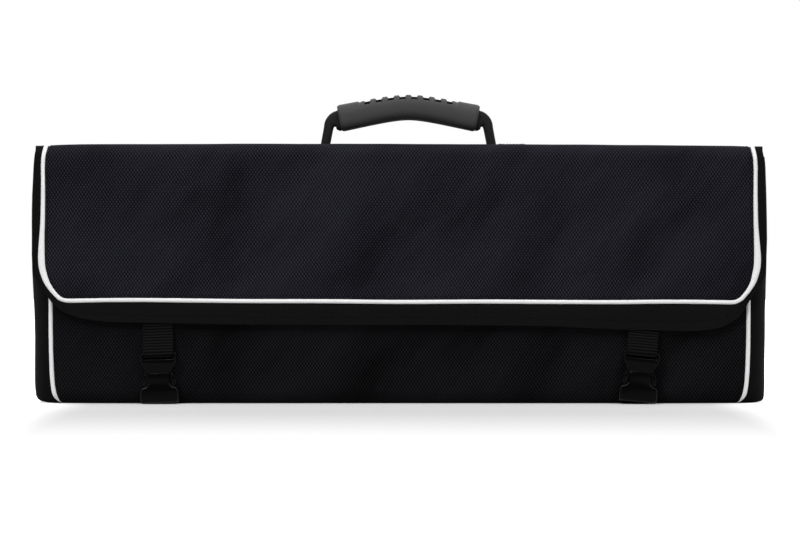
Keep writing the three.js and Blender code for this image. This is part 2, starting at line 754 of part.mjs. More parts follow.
// Carrying handle: a rubber grip on a webbing core, on two legs sewn down to the lid by feet.
const gripHalf = gripLength / 2;
const gripCentre = (s) => gripMidHeight - gripArch * s * s;
const ribCover = (u) => {
  const nearest = Math.round(u / ribPitch) * ribPitch;
  const reach = ((ribCount - 1) / 2) * ribPitch;
  if (Math.abs(nearest) > reach + layerGap) return 0;
  return clamp01((ribWidth / 2 - Math.abs(u - nearest)) / ribSlope + 1);
};
function gripRing(u, rib) {
  const s = u / gripHalf;
  const halfThick = (gripMidThick + (gripEndThick - gripMidThick) * s * s) / 2;
  const endRound = 1 - gripEndDraw * clamp01(1 + (Math.abs(u) - gripHalf) / gripEndLength) ** 2;
  const halfAcross = ((gripMidDepth + (gripEndDepth - gripMidDepth) * s * s) / 2) * endRound;
  return sample(20, (t) => {
    const angle = t * 2 * Math.PI;
    const [c, k] = [Math.cos(angle), Math.sin(angle)];
    const y = Math.sign(c) * Math.abs(c) ** (2 / gripSquareness) * halfAcross;
    const up = Math.sign(k) * Math.abs(k) ** (2 / gripSquareness) * halfThick * endRound;
    const rise = k > ribTopShare ? rib * ribRise : 0;
    return new THREE.Vector3(handleX + u, handleY + y, gripCentre(s) + up + rise);
  }).slice(0, -1);
}
{
  const ends = [0, gripEndLength / 4, gripEndLength].map((inset) => gripHalf - inset);
  const stations = new Set([...ends.map((u) => -u), ...ends]);
  for (let r = 0; r < ribCount; r++) {
    const middle = (r - (ribCount - 1) / 2) * ribPitch;
    const [near, far] = [ribWidth / 2, ribWidth / 2 + ribSlope];
    [-far, -near, near, far].forEach((d) => stations.add(middle + d));
  }
  const rings = [...stations].sort((a, b) => a - b).map((u) => gripRing(u, ribCover(u)));
  const channel = new THREE.Shape(rectangle(
    -handleStrapWidth / 2 - layerGap, handleStrapWidth / 2 + layerGap,
    -handleStrapThick / 2 - layerGap, handleStrapThick / 2 + layerGap,
  ));
  const route = (reach) => sample(16, (t) => {
    const u = (2 * t - 1) * reach;
    return new THREE.Vector3(handleX + u, handleY, gripCentre(u / gripHalf));
  });
  const bore = alongRoute(channel, route(gripHalf + gripEndLength));
  place('handle_grip', 'rubber', shaped(outward(loft(rings)), [], [bore]));
  const core = new THREE.Shape(rectangle(
    -handleStrapWidth / 2, handleStrapWidth / 2, -handleStrapThick / 2, handleStrapThick / 2,
  ));
  place('handle_core', 'webbing', alongRoute(core, route(gripHalf - layerGap)));
}
const footTop = lidTop + layerGap + footThick;
function handleLeg() {
  const endSlope = (2 * gripArch) / gripHalf;
  const stand = layerGap + (handleLegThick / 2) * endSlope;
  const start = new THREE.Vector2(gripHalf + stand, gripCentre(1) - stand * endSlope);
  const low = footTop + layerGap;
  const line = filleted([
    [start.x, start.y, 0],
    [start.x + legShoulder, start.y - legShoulder * endSlope + legShoulderLift, legBendRadius],
    [handleSpan / 2, low, 0],
  ], 6).map((p) => new THREE.Vector3(p.x, handleY, p.y));
  const section = new THREE.Shape(rectangle(
    -handleStrapWidth / 2, handleStrapWidth / 2, -handleLegThick / 2, handleLegThick / 2,
  ));
  return alongRoute(section, line);
}
for (const [side, sign] of bothSides) {
  const holder = new THREE.Group();
  holder.position.x = handleX;
  caseGroup.add(holder);
  const foot = block(
    handleSpan / 2 - footInset, handleSpan / 2 - footInset + footLength,
    handleY - handleStrapWidth / 2, handleY + handleStrapWidth / 2, lidTop + layerGap, footTop,
  );
  place(`${side}_handle_foot`, 'webbing', sideOf(foot, sign), holder);
  place(`${side}_handle_leg`, 'webbing', sideOf(handleLeg(), sign), holder);
}

// Buckles, each in its own leaned group: X across, Z along the strap, -Y out of the face.
// The group's origin is the middle of the socket's mouth line.
const plate = (points, low, high) => facing(points, high - low, -low);
const symmetric = (half) => outlineOf([...half, ...half.slice().reverse().map(([u, v]) => [-u, v])]);

function socketGeometry() {
  const half = buckleHalfWidth;
  const cut = socketCornerCut;
  const rise = socketShoulderRise;
  const outline = symmetric([
    [half - cut / 2, socketBottom], [half, socketBottom + cut], [half, socketShoulder - rise / 3],
    [half - cut, socketShoulder], [socketThroatHalf + cut, socketShoulder + rise / 4],
    [socketThroatHalf, socketShoulder + rise / 2], [socketThroatHalf, socketMouth],
  ]);
  const deep = buckleThick / 2;
  const hollowHalf = half - socketSide;
  const hollowDeep = deep - socketPlate;
  const hollow = plate(rectangle(-hollowHalf, hollowHalf, socketHollowFloor, cut), -hollowDeep, hollowDeep);
  const recessHalf = hollowHalf - socketRecessRim;
  const recess = plate(
    rectangle(-recessHalf, recessHalf, socketBottom - 1, socketHollowFloor - socketRecessRim),
    -deep - 1, socketRecessFloor,
  );
  const bar = new THREE.CylinderGeometry(tabBarRadius, tabBarRadius, 2 * half - cut, 12);
  bar.rotateZ(Math.PI / 2);
  bar.translate(0, -tabBarDepth, tabBarHeight);
  return shaped(shaped(plate(outline, -deep, deep), [], [hollow, recess]), [bar]);
}

// The tab is a hook of webbing: up the case behind the socket, and under and round its bar.
function tabGeometry() {
  const inner = tabBarRadius + layerGap;
  const outer = inner + tabThick;
  const turn = sample(8, (t) => Math.PI + t * Math.PI);
  const bend = (radius) => turn.map((a) => [
    tabBarDepth + radius * Math.cos(a), tabBarHeight + radius * Math.sin(a),
  ]);
  const outline = [
    [tabBarDepth - outer, tabTop], ...bend(outer), [tabBarDepth + outer, tabBarHeight + tabHook],
    [tabBarDepth + inner, tabBarHeight + tabHook], ...bend(inner).reverse(), [tabBarDepth - inner, tabTop],
  ];
  const half = strapWidth / 2;
  return across(outline.map(([w, v]) => new THREE.Vector2(-w, v)).reverse(), -half, half);
}

function plugGeometry() {
  const half = strapWidth / 2 + plugSlotPlay + plugProngThick;
  const slotHalf = half - plugProngThick;
  const deep = plugThick / 2;
  const outline = symmetric([
    [plugNeckHalf, 0], [plugNeckHalf, plugNeckHeight / 4], [plugNeckHalf + plugProngThick, plugNeckHeight],
    [half - plugSlotPlay, plugShoulderHeight], [half, plugBodyTop], [half, plugProngTop],
  ]);
  const bar = new THREE.CylinderGeometry(plugBarRadius, plugBarRadius, 2 * half - plugProngThick, 12);
  bar.rotateZ(Math.PI / 2);
  bar.translate(0, 0, plugBarHeight);
  const tongue = plate(rectangle(-tongueHalf, tongueHalf, tongueEnd, 1), -tongueThick / 2, tongueThick / 2);
  const slot = plate(rectangle(-slotHalf, slotHalf, plugBodyTop, plugProngTop + 1), -deep - 1, deep + 1);
  const frameSolid = toSolid(plate(outline, -deep, deep)).subtract(toSolid(slot));
  return toGeometry(frameSolid.add(toSolid(bar)).add(toSolid(tongue)));
}

// One spring arm, on the +X side: a thin core from the neck to its tip and a thicker thumb pad.
function armGeometry() {
  const core = plate(outlineOf(armCore), -armThick / 2, armThick / 2);
  return shaped(core, [plate(outlineOf(armPad), -armPadThick / 2, armPadThick / 2)]);
}

// The strap comes down behind the flap's border, turns round the plug's bar and goes up again.
function strapGeometry(top) {
  const inner = plugBarRadius + layerGap;
  const outer = inner + strapThick;
  const turn = sample(8, (t) => Math.PI + t * Math.PI);
  const bend = (radius) => turn.map((a) => [radius * Math.cos(a), plugBarHeight + radius * Math.sin(a)]);
  const joinHeight = plugBarHeight + strapFold;
  const backFace = buckleY - flapPlane - layerGap - 2 * strapThick - strapLayerGap;
  const backInner = backFace + strapThick;
  const frontInner = backInner + strapLayerGap;
  const frontFace = frontInner + strapThick;
  const outline = [
    [backFace, top], [backFace, joinHeight], ...bend(outer), [frontFace, joinHeight], [frontFace, top],
    [frontInner, top], [frontInner, joinHeight + 1], ...bend(inner).reverse(),
    [backInner, joinHeight + 1], [backInner, top],
  ];
  const half = strapWidth / 2;
  return across(outline.map(([w, v]) => new THREE.Vector2(-w, v)).reverse(), -half, half);
}

for (const [side, sign, lean] of [['left', -1, leftLean], ['right', 1, rightLean]]) {
  const buckle = new THREE.Group();
  const turn = THREE.MathUtils.degToRad(lean);
  const height = buckleFloorGap - socketBottom * Math.cos(turn) + buckleHalfWidth * Math.abs(Math.sin(turn));
  buckle.position.set(sign * strapX, buckleY, height);
  buckle.rotation.y = turn;
  caseGroup.add(buckle);
  place(`${side}_socket`, 'buckle', socketGeometry(), buckle);
  place(`${side}_socket_tab`, 'webbing', tabGeometry(), buckle);
  place(`${side}_plug_frame`, 'buckle', plugGeometry(), buckle);
  place(`${side}_plug_outer_arm`, 'buckle', sideOf(armGeometry(), sign), buckle);
  place(`${side}_plug_inner_arm`, 'buckle', sideOf(armGeometry(), -sign), buckle);
  place(`${side}_strap`, 'webbing', strapGeometry(strapTop - height), buckle);
}

// The origin is the middle of the footprint, front to back as well.
caseGroup.position.y = -(frontmost + lidBack) / 2;
export default caseGroup;
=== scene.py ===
# %% [markdown]
# # Hard chef knife case
# The imported model holds the case at its real size: boards, buckles, hinges and where each layer
# lies. This lesson dresses that frame. Each cloth, cord, strap and moulding is made as a piece of
# its own and laid where the frame says, and many are tied to the body that they move with.

# %% Loading the imported case
import math

import bmesh
import bpy
from mathutils import Matrix, Vector, noise


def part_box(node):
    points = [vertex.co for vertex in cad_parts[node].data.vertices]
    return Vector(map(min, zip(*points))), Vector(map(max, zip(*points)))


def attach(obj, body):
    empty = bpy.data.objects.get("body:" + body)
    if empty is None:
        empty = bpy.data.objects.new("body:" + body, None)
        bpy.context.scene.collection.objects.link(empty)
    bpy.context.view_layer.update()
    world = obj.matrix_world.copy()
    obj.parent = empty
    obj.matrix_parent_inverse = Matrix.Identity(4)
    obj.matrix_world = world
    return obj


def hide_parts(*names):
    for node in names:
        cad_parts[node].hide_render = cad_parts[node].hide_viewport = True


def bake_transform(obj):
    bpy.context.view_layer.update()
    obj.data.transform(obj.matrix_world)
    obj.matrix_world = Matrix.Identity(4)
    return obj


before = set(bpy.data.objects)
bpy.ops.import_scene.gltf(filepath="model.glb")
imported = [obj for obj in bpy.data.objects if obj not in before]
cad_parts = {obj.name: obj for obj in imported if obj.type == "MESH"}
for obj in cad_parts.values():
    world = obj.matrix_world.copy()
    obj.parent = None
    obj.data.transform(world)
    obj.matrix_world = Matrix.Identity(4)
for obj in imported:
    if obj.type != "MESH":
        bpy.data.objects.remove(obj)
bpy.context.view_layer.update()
MM = 0.001

# %% [markdown]
# The frame is in metres. A sewn case is easier to think about in millimetres, so the shapes
# below are worked out in millimetres and scaled once, when a piece is finished. The main planes
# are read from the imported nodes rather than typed.

# %% Main planes of the case, in millimetres
def low(node):
    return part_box(node)[0] / MM


def high(node):
    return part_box(node)[1] / MM


front_face = low("front_cover").y
back_face = high("back_cover").y
middle_y = (front_face + back_face) / 2
half_depth = (back_face - front_face) / 2
flap_face = low("flap_cover").y
lid_top = high("lid_cover").z
lid_low = low("lid_lining").z
wall_top = high("front_edge_binding").z
cover_top = high("front_cover").z
cover_thick = 1.2
piping_radius = 1.5
bottom_radius = 9
sides = {"left": -1, "right": 1}
print("front, back, flap and top:", [round(v, 2) for v in (front_face, back_face, flap_face, lid_top)])

# %% [markdown]
# ## Finishes
# Everything on this case is black except the white piping, so the finishes differ in weave,
# sheen and depth of black. A shader tree could be drawn by hand in the editor; here two small
# helpers place its nodes, so that each finish below reads as a list of its layers.

# %% Helpers for shader nodes
def node(tree, kind, values=None, **options):
    made = tree.nodes.new(kind)
    for key, value in options.items():
        setattr(made, key, value)
    for key, value in (values or {}).items():
        socket = made.inputs[key]
        if isinstance(value, bpy.types.NodeSocket):
            tree.links.new(value, socket)
        else:
            socket.default_value = value
    return made


def reckon(tree, operation, *values):
    return node(tree, "ShaderNodeMath", dict(enumerate(values)), operation=operation).outputs[0]


def reach_along(tree, place, way):
    """How far a place lies along a way."""
    product = node(tree, "ShaderNodeVectorMath", {0: place, 1: way}, operation="DOT_PRODUCT")
    return product.outputs["Value"]


def blank(name, roughness, specular):
    material = bpy.data.materials.new(name)
    material.use_nodes = True
    tree = material.node_tree
    shader = tree.nodes["Principled BSDF"]
    shader.inputs["Roughness"].default_value = roughness
    shader.inputs["Specular IOR Level"].default_value = specular
    return material, tree, shader


def grey(level, blue=0.0):
    """A colour given by its brightness on screen, from 0 to 255, and what blue adds to it."""
    def linear(value):
        return (value / 255 / 12.92) if value < 10.3 else ((value / 255 + 0.055) / 1.055) ** 2.4
    return (linear(level), linear(level), linear(level + blue), 1)


def coloured(tree, shader, factor, dark, light):
    """Mixes a dark and a light colour by factor into the base colour."""
    mixed = node(tree, "ShaderNodeMix", {"Factor": factor}, data_type="RGBA")
    for key, value in (("A", dark), ("B", light)):
        next(s for s in mixed.inputs if s.name == key and s.type == "RGBA").default_value = value
    tree.links.new(next(s for s in mixed.outputs if s.type == "RGBA"), shader.inputs["Base Color"])


def bumped(tree, shader, height, distance, strength=1.0):
    bump = node(tree, "ShaderNodeBump", {"Height": height, "Distance": distance, "Strength": strength})
    tree.links.new(bump.outputs["Normal"], shader.inputs["Normal"])


def speckle(tree, place, scale, detail=2.0):
    return node(tree, "ShaderNodeTexNoise", {"Vector": place, "Scale": scale, "Detail": detail}).outputs[0]


print("shader helpers ready")

# %% [markdown]
# ### Woven cloth
# Heavy nylon shows its weave as two families of slanting lines, one steep and one shallow, that
# cross in small raised cells. Two sine waves over the cloth's own UV map give those lines at
# their true pitch, and noise makes the yarns uneven. Slanting blotches, a few centimetres long,
# paint the light and shade of the faint folds that the cloth keeps from being pulled over the
# boards into its colour: drift is how much they lighten and darken it, and folds how many
# millimetres of relief they add as bump. The same recipe with a finer pitch makes the plain
# cloth, the linings and the cover of the piping.

# %% Woven finishes
def wave(tree, place, angle, pitch_mm):
    turn = math.radians(angle)
    across = (math.cos(turn) / (pitch_mm * MM), math.sin(turn) / (pitch_mm * MM), 0)
    turns = reckon(tree, "MULTIPLY", reach_along(tree, place, across), 2 * math.pi)
    ripple = reckon(tree, "SINE", turns)
    return reckon(tree, "MULTIPLY_ADD", ripple, 0.5, 0.5)


def woven(
    name, dark, light, angles, pitches, relief, roughness, specular, drift, cross=1.0, gain=1.6, folds=0.0,
):
    """Angles in degrees, pitches and relief in millimetres. Cross is how much the second wave shows."""
    material, tree, shader = blank(name, roughness, specular)
    place = node(tree, "ShaderNodeUVMap", uv_map="weave").outputs[0]
    stray = node(tree, "ShaderNodeTexNoise", {"Vector": place, "Scale": 260.0, "Detail": 1.0})
    nudge = node(tree, "ShaderNodeVectorMath", {0: stray.outputs["Color"], 3: 0.0006}, operation="SCALE")
    bent = node(tree, "ShaderNodeVectorMath", {0: place, 1: nudge.outputs[0]}, operation="ADD").outputs[0]
    second = reckon(tree, "MULTIPLY_ADD", wave(tree, bent, angles[1], pitches[1]), cross, 1 - cross)
    cells = reckon(tree, "MULTIPLY", wave(tree, bent, angles[0], pitches[0]), second)
    yarn = speckle(tree, place, 1500.0)
    slant = node(
        tree, "ShaderNodeMapping", {"Vector": place, "Rotation": (0, 0, -0.9), "Scale": (1.7, 0.75, 1)},
        vector_type="TEXTURE",
    )
    blotch = speckle(tree, slant.outputs[0], 15.0, 3.0)
    lit = reckon(tree, "MULTIPLY_ADD", cells, gain, reckon(tree, "MULTIPLY", yarn, 0.2))
    # Painted light and shade of folds: the blotches lighten and darken the colour.
    shade = reckon(tree, "MULTIPLY_ADD", blotch, drift * 2, 1 - drift)
    coloured(tree, shader, reckon(tree, "MULTIPLY", lit, shade), dark, light)
    height = reckon(tree, "MULTIPLY_ADD", yarn, 0.3, cells)
    if folds:
        height = reckon(tree, "MULTIPLY_ADD", blotch, folds / relief, height)
    bumped(tree, shader, height, relief * MM)
    return material


nylon = woven(
    "heavy_nylon", grey(5, 2), grey(41.5, 8), (35, -35), (1.77, 1.77), 0.2, 0.7, 0.03, 1.7, folds=11.0,
)
# Painted shade: a darker copy of the same nylon for the body cloth, standing in for the shade under the
# border and from light falling from above.
shaded_nylon_copy = woven(
    "heavy_nylon_painted_shade", grey(0), grey(30, 3), (35, -35), (1.75, 1.75), 0.2, 0.7, 0.02, 1.7, folds=11.0,
)
plain = woven("plain_cloth", grey(10), grey(23), (0, 90), (0.7, 0.7), 0.06, 0.8, 0.03, 0.6)
gusset_cloth = woven("gusset_cloth", grey(9), grey(15), (0, 90), (0.7, 0.7), 0.06, 0.8, 0.04, 0.25)
lining_cloth = woven("lining_cloth", grey(24), grey(44), (45, -45), (0.6, 0.6), 0.08, 0.8, 0.1, 0.2)
piping_cloth = woven("piping_cloth", grey(214), grey(247), (62, -28), (0.9, 0.9), 0.10, 0.7, 0.2, 0.06)
elastic_cloth = woven("elastic_cloth", grey(10), grey(34), (0, 90), (1.1, 0.8), 0.15, 0.75, 0.1, 0.2)
tape_cloth = woven("tape_cloth", grey(12), grey(32), (18, -18), (1.2, 1.2), 0.12, 0.8, 0.08, 0.2)
webbing = woven(
    "webbing_yarn", grey(0), grey(28), (90, 0), (2.0, 1.1), 0.1, 0.8, 0.02, 0.2, cross=0.1, gain=0.75,
)
leg_webbing = woven("leg_webbing", grey(23), grey(43), (60, -60), (1.3, 1.3), 0.12, 0.75, 0.06, 0.2)
print("woven finishes:", len(bpy.data.materials))

# %% [markdown]
# ### Mouldings, board and foam
# These have no weave, so their grain comes from Object coordinates, which are metres because every
# piece is finished at the origin. Moulded plastic and rubber are smooth with a faint grain and get
# their look from soft highlights on rounded rims. A buckle's rims have a lighter, glossier finish of
# their own, which is a painted highlight, and the grip's grooves have a near-black, dull finish of
# their own, which is painted shade.

# %% Other finishes
def grained(name, dark, light, scale, relief, roughness, specular, wear=0.0):
    """A fine grain, relief in millimetres, whose roughness wanders by wear."""
    material, tree, shader = blank(name, roughness, specular)
    spot = node(tree, "ShaderNodeTexCoord").outputs["Object"]
    grain = speckle(tree, spot, scale, 3.0)
    broad = speckle(tree, spot, 35.0, 3.0)
    factor = reckon(tree, "MULTIPLY_ADD", grain, 0.7, reckon(tree, "MULTIPLY", broad, 0.5))
    coloured(tree, shader, factor, dark, light)
    if wear:
        rough = reckon(tree, "MULTIPLY_ADD", broad, wear, roughness - wear / 2)
        tree.links.new(rough, shader.inputs["Roughness"])
    bumped(tree, shader, grain, relief * MM)
    return material


buckle_plastic = grained("buckle_plastic", grey(0), grey(2), 1400.0, 0.006, 0.2, 0.085, 0.04)
# Painted highlight: the rims get a lighter, glossier copy of the buckle plastic.
rim_highlight_plastic = grained("buckle_rims_painted_highlight", grey(3), grey(9), 1400.0, 0.006, 0.3, 0.24, 0.04)
grip_rubber = grained("grip_rubber", grey(53), grey(65), 1100.0, 0.04, 0.6, 0.12, 0.12)
# Painted shade: the grooves' near-black, dull rubber stands in for the shade between the ribs.
groove_painted_shade = grained("groove_painted_shade", grey(5), grey(10), 1100.0, 0.04, 1.0, 0.0)
stiff_board = grained("stiff_board", grey(46), grey(74), 500.0, 0.1, 0.65, 0.2)
pad_foam = grained("pad_foam", grey(36), grey(60), 420.0, 0.4, 0.95, 0.05)
thread = grained("sewing_thread", grey(6), grey(18), 2600.0, 0.1, 0.7, 0.05)
board_nodes = [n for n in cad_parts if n.endswith("_board") and not n.startswith(("lid", "flap"))]
for name in board_nodes:
    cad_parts[name].data.materials.clear()
    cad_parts[name].data.materials.append(stiff_board)
print("boards with the board finish:", len(board_nodes))

# %% [markdown]
# ## Two ways to make a sewn piece
# A cloth starts as a flat grid that is moved onto its place, and is then extruded inwards for its
# thickness. A cord, strap or binding is a ring of vertices that is extruded from one station to
# the next along its route. Both keep a UV map in metres for the weave.

# %% Finishing a piece
def finished(bm, name, material, stands_for=(), sharp=50):
    """Makes a piece in metres of a shape drawn in millimetres. Edges over sharp degrees stay hard."""
    bmesh.ops.remove_doubles(bm, verts=bm.verts, dist=0.0005)
    bmesh.ops.recalc_face_normals(bm, faces=bm.faces)
    bmesh.ops.transform(bm, matrix=Matrix.Scale(MM, 4), verts=bm.verts)
    mesh = bpy.data.meshes.new(name)
    bm.to_mesh(mesh)
    bm.free()
    mesh.shade_smooth()
    mesh.set_sharp_from_angle(angle=math.radians(sharp))
    mesh.materials.append(material)
    piece = bpy.data.objects.new(name, mesh)
    bpy.context.scene.collection.objects.link(piece)
    if stands_for:
        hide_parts(*stands_for)
    return piece


def weave_map(bm, across_layer, along_layer, wrap=None):
    """Lays the weave's UV map, in metres, from two values kept on the vertices."""
    uv = bm.loops.layers.uv.new("weave")
    for face in bm.faces:
        values = [loop.vert[across_layer] for loop in face.loops]
        turn = wrap if wrap and max(values) - min(values) > wrap / 2 else 0
        for loop in face.loops:
            across = loop.vert[across_layer]
            if turn and across < wrap / 2:
                across += turn
            loop[uv].uv = (across * MM, loop.vert[along_layer] * MM)


def even(count):
    """Values from 0 to 1 in even steps."""
    return [k / count for k in range(count + 1)]


def spread(count, edge=0.75):
    """Values from 0 to 1 that lie closer together near both ends."""
    return [t + (0.5 - 0.5 * math.cos(math.pi * t) - t) * edge for t in even(count)]


def cloth(name, place, us, vs, thick, flat, material, stands_for=(), sharp=50, rim=0.0):
    """place(u, v, depth) gives a point of the cloth, and flat(u, v) where it was on the bolt."""
    bm = bmesh.new()
    bmesh.ops.create_grid(bm, x_segments=len(us) - 1, y_segments=len(vs) - 1, size=1)
    keep = [bm.verts.layers.float.new(key) for key in ("u", "v", "across", "along")]
    for vert in bm.verts:
        u = us[round((vert.co.x + 1) / 2 * (len(us) - 1))]
        v = vs[round((vert.co.y + 1) / 2 * (len(vs) - 1))]
        vert[keep[0]], vert[keep[1]] = u, v
        vert[keep[2]], vert[keep[3]] = flat(u, v)
        vert.co = place(u, v, 0.0)
    area = sum(face.calc_area() for face in bm.faces)
    made = bmesh.ops.extrude_face_region(bm, geom=bm.faces[:])["geom"]
    for vert in (part for part in made if isinstance(part, bmesh.types.BMVert)):
        vert.co = place(vert[keep[0]], vert[keep[1]], thick)
    bmesh.ops.recalc_face_normals(bm, faces=bm.faces)
    if rim:
        edges = [e for e in bm.edges if e.is_manifold and e.calc_face_angle() > math.radians(60)]
        bmesh.ops.bevel(
            bm, geom=edges, offset=rim, affect="EDGES", segments=2, profile=0.5, material=-1,
            clamp_overlap=True,
        )
    weave_map(bm, keep[2], keep[3])
    piece = finished(bm, name, material, stands_for, sharp)
    piece["cloth_area"] = area * MM * MM
    return piece


def rail(points, ups, widths, heights):
    """Station matrices along points. A ring's first axis lies across and its second along up."""
    frames = []
    for k, point in enumerate(points):
        ahead = (points[min(k + 1, len(points) - 1)] - points[max(k - 1, 0)]).normalized()
        side = ahead.cross(ups[k]).normalized()
        up = side.cross(ahead).normalized()
        turn = Matrix((side * widths[k], up * heights[k], ahead)).transposed().to_4x4()
        frames.append(Matrix.Translation(point) @ turn)
    return frames


def swept(bm, frames, ring):
    """Extrudes a ring of (across, up) points from station to station, and caps both ends."""
    keep = [bm.verts.layers.float.get(key) or bm.verts.layers.float.new(key) for key in ("across", "along")]
    verts = [bm.verts.new(frames[0] @ Vector((a, b, 0))) for a, b in ring]
    edges = [bm.edges.new((verts[k - 1], verts[k])) for k in range(len(verts))]
    girth = 0.0
    for k, vert in enumerate(verts):
        vert[keep[0]] = girth
        girth += (verts[(k + 1) % len(verts)].co - vert.co).length
    first, run = edges, 0.0
    for before, after in zip(frames, frames[1:]):
        made = bmesh.ops.extrude_edge_only(bm, edges=edges)["geom"]
        fresh = [part for part in made if isinstance(part, bmesh.types.BMVert)]
        edges = [part for part in made if isinstance(part, bmesh.types.BMEdge)]
        bmesh.ops.transform(bm, matrix=after @ before.inverted(), verts=fresh)
        run += (after.translation - before.translation).length
        for vert in fresh:
            vert[keep[1]] = run
    for end in (first, edges):
        bmesh.ops.contextual_create(bm, geom=end)
    return girth, keep


def moulding(bm, outline, front, back, rim, segments=3, rim_finish=-1):
    """Extrudes an outline of (x, z) points from y = front to y = back and rounds its rims."""
    verts = [bm.verts.new((p[0], front, p[1])) for p in outline]
    face = bm.faces.new(verts)
    made = bmesh.ops.extrude_face_region(bm, geom=[face])["geom"]
    far = [part for part in made if isinstance(part, bmesh.types.BMVert)]
    bmesh.ops.translate(bm, vec=(0, back - front, 0), verts=far)
    if rim:
        rims = [e for e in bm.edges if all(v in verts for v in e.verts) or all(v in far for v in e.verts)]
        bmesh.ops.bevel(
            bm, geom=rims, offset=rim, affect="EDGES", segments=segments, profile=0.5, material=rim_finish,
            clamp_overlap=True,
        )


def both_sides(half):
    """The whole outline of a moulding, from its right half as (x, z) points."""
    return half + [(-x, z) for x, z in reversed(half)]


def block(bm, x0, x1, y0, y1, z0, z1, rim=0.0):
    """A box between two corners, with rounded rims."""
    moulding(bm, [(x0, z0), (x1, z0), (x1, z1), (x0, z1)], y0, y1, rim, 2)


def round_ring(count=16):
    return [(math.cos(2 * math.pi * k / count), math.sin(2 * math.pi * k / count)) for k in range(count)]


def soft_ring(power=4.0, count=24):
    """A flat band's section between -1 and 1, with its edges rounded over."""
    ring = []
    for k in range(count):
        c, s = math.cos(2 * math.pi * k / count), math.sin(2 * math.pi * k / count)
        ring.append((math.copysign(abs(c) ** (2 / power), c), math.copysign(abs(s) ** (2 / power), s)))
    return ring


def cord_piece(name, points, ups, widths, heights, ring, material, stands_for=()):
    """A cord or band along points, with half its width and half its thickness given at each."""
    bm = bmesh.new()
    girth, keep = swept(bm, rail(points, ups, widths, heights), ring)
    weave_map(bm, keep[0], keep[1], girth)
    return finished(bm, name, material, stands_for)


print("piece helpers ready")

# %% [markdown]
# Routes are drawn as corners with a radius, as a pattern cutter would, and turned into points.
# A second helper walks along such a route by distance.

# %% Routes
def filleted(corners, steps=8):
    """Points of a route through (a, b, radius) corners."""
    points = []
    for k, (a, b, radius) in enumerate(corners):
        here = Vector((a, b))
        if not radius:
            points.append(here)
            continue
        back = (Vector(corners[k - 1][:2]) - here).normalized()
        ahead = (Vector(corners[k + 1][:2]) - here).normalized()
        half = back.angle(ahead) / 2
        reach = radius / math.tan(half)
        centre = here + (back + ahead).normalized() * (radius / math.sin(half))
        start = here + back * reach - centre
        end = here + ahead * reach - centre
        turn = math.atan2(start.x * end.y - start.y * end.x, start.dot(end))
        for step in range(steps + 1):
            points.append(centre + Matrix.Rotation(turn * step / steps, 2) @ start)
    return points


class Walk:
    """A route that is read by the distance from its start."""

    def __init__(self, points):
        self.points = points
        self.marks = [0.0]
        for before, after in zip(points, points[1:]):
            self.marks.append(self.marks[-1] + (after - before).length)
        self.length = self.marks[-1]

    def at(self, distance):
        for k in range(1, len(self.marks)):
            if distance <= self.marks[k] or k == len(self.marks) - 1:
                share = (distance - self.marks[k - 1]) / max(1e-9, self.marks[k] - self.marks[k - 1])
                return self.points[k - 1].lerp(self.points[k], share)

    def ahead(self, distance, reach=0.6):
        return (self.at(distance + reach) - self.at(distance - reach)).normalized()

    def stations(self, step):
        """Distances about one step apart that also keep every corner point."""
        found = []
        for before, after in zip(self.marks, self.marks[1:]):
            count = max(1, round((after - before) / step))
            found += [before + (after - before) * k / count for k in range(count)]
        return found + [self.length]


def between(rows, value):
    """Reads a table of (place, amount) rows, with straight runs between them."""
    if value <= rows[0][0]:
        return rows[0][1]
    for (low_at, low_amount), (high_at, high_amount) in zip(rows, rows[1:]):
        if value <= high_at:
            return low_amount + (high_amount - low_amount) * (value - low_at) / (high_at - low_at)
    return rows[-1][1]


def part_way(start, end, share):
    return start + (end - start) * share


def ease(value):
    """0 up to 0, 1 from 1 on, and a smooth rise between them."""
    value = min(1.0, max(0.0, value))
    return value * value * (3 - 2 * value)


def ripple(x, y, length, seed):
    """Smooth noise between -1 and 1, with waves of about the given length."""
    return noise.noise(Vector((x / length, y / length, seed * 7.31)))


print("route helpers ready")

# %% [markdown]
# ## The cloth in two developments
# The real case is cut from two long cloths. One covers the lid, folds over its front edge and
# covers the flap. The other runs down the front, under the case and up the back to the lid. Each
# is drawn here on its flat development, as across and along, and a mapping bends it onto the
# boards. Piping, borders and stitches are drawn on the same development, so they always meet.

# %% Mapping from the flat cloths onto the case
fold_radius = 9.0
top_walk = Walk(filleted([(back_face, lid_top, 0), (flap_face, lid_top, fold_radius), (flap_face, 40, 0)]))
body_walk = Walk(filleted([
    (front_face, cover_top, 0), (front_face, 0, bottom_radius), (back_face, 0, bottom_radius),
    (back_face, lid_top - 0.3, 0),
]))
fold_at = top_walk.marks[1]
flap_from = fold_at + fold_radius * math.pi / 2
crown_rows = [
    (-241, 0.6), (-230, 1.1), (-213, 1.55), (-186, 1.7), (-133, 1.84), (-33, 1.84), (0, 1.95), (34, 2.2),
    (52, 2.0), (67, 1.85), (88, 1.7), (102, 1.4), (134, 1.15), (200, 0.57), (227, 0.25), (240, 0.1),
]
body_seam_rows = [
    (0, 226.5), (2, 228.7), (3.3, 229.6), (6, 230.9), (12.7, 232.05), (22, 232.7), (36, 233.2), (50, 233.4),
]


def along_of(z):
    """Distance along the top cloth of a point at height z on the flap."""
    return flap_from + (lid_top - fold_radius - z)


def height_of(along):
    return lid_top - fold_radius - (along - flap_from)


def crown_at(x, along):
    """The front of the lid bows up a little, more to the left of the middle."""
    return between(crown_rows, x) * ease((along - 42) / 22) * ease((flap_from + 45 - along) / 45)


def outward_of(walk, distance):
    ahead = walk.ahead(distance)
    return Vector((ahead.y, -ahead.x))


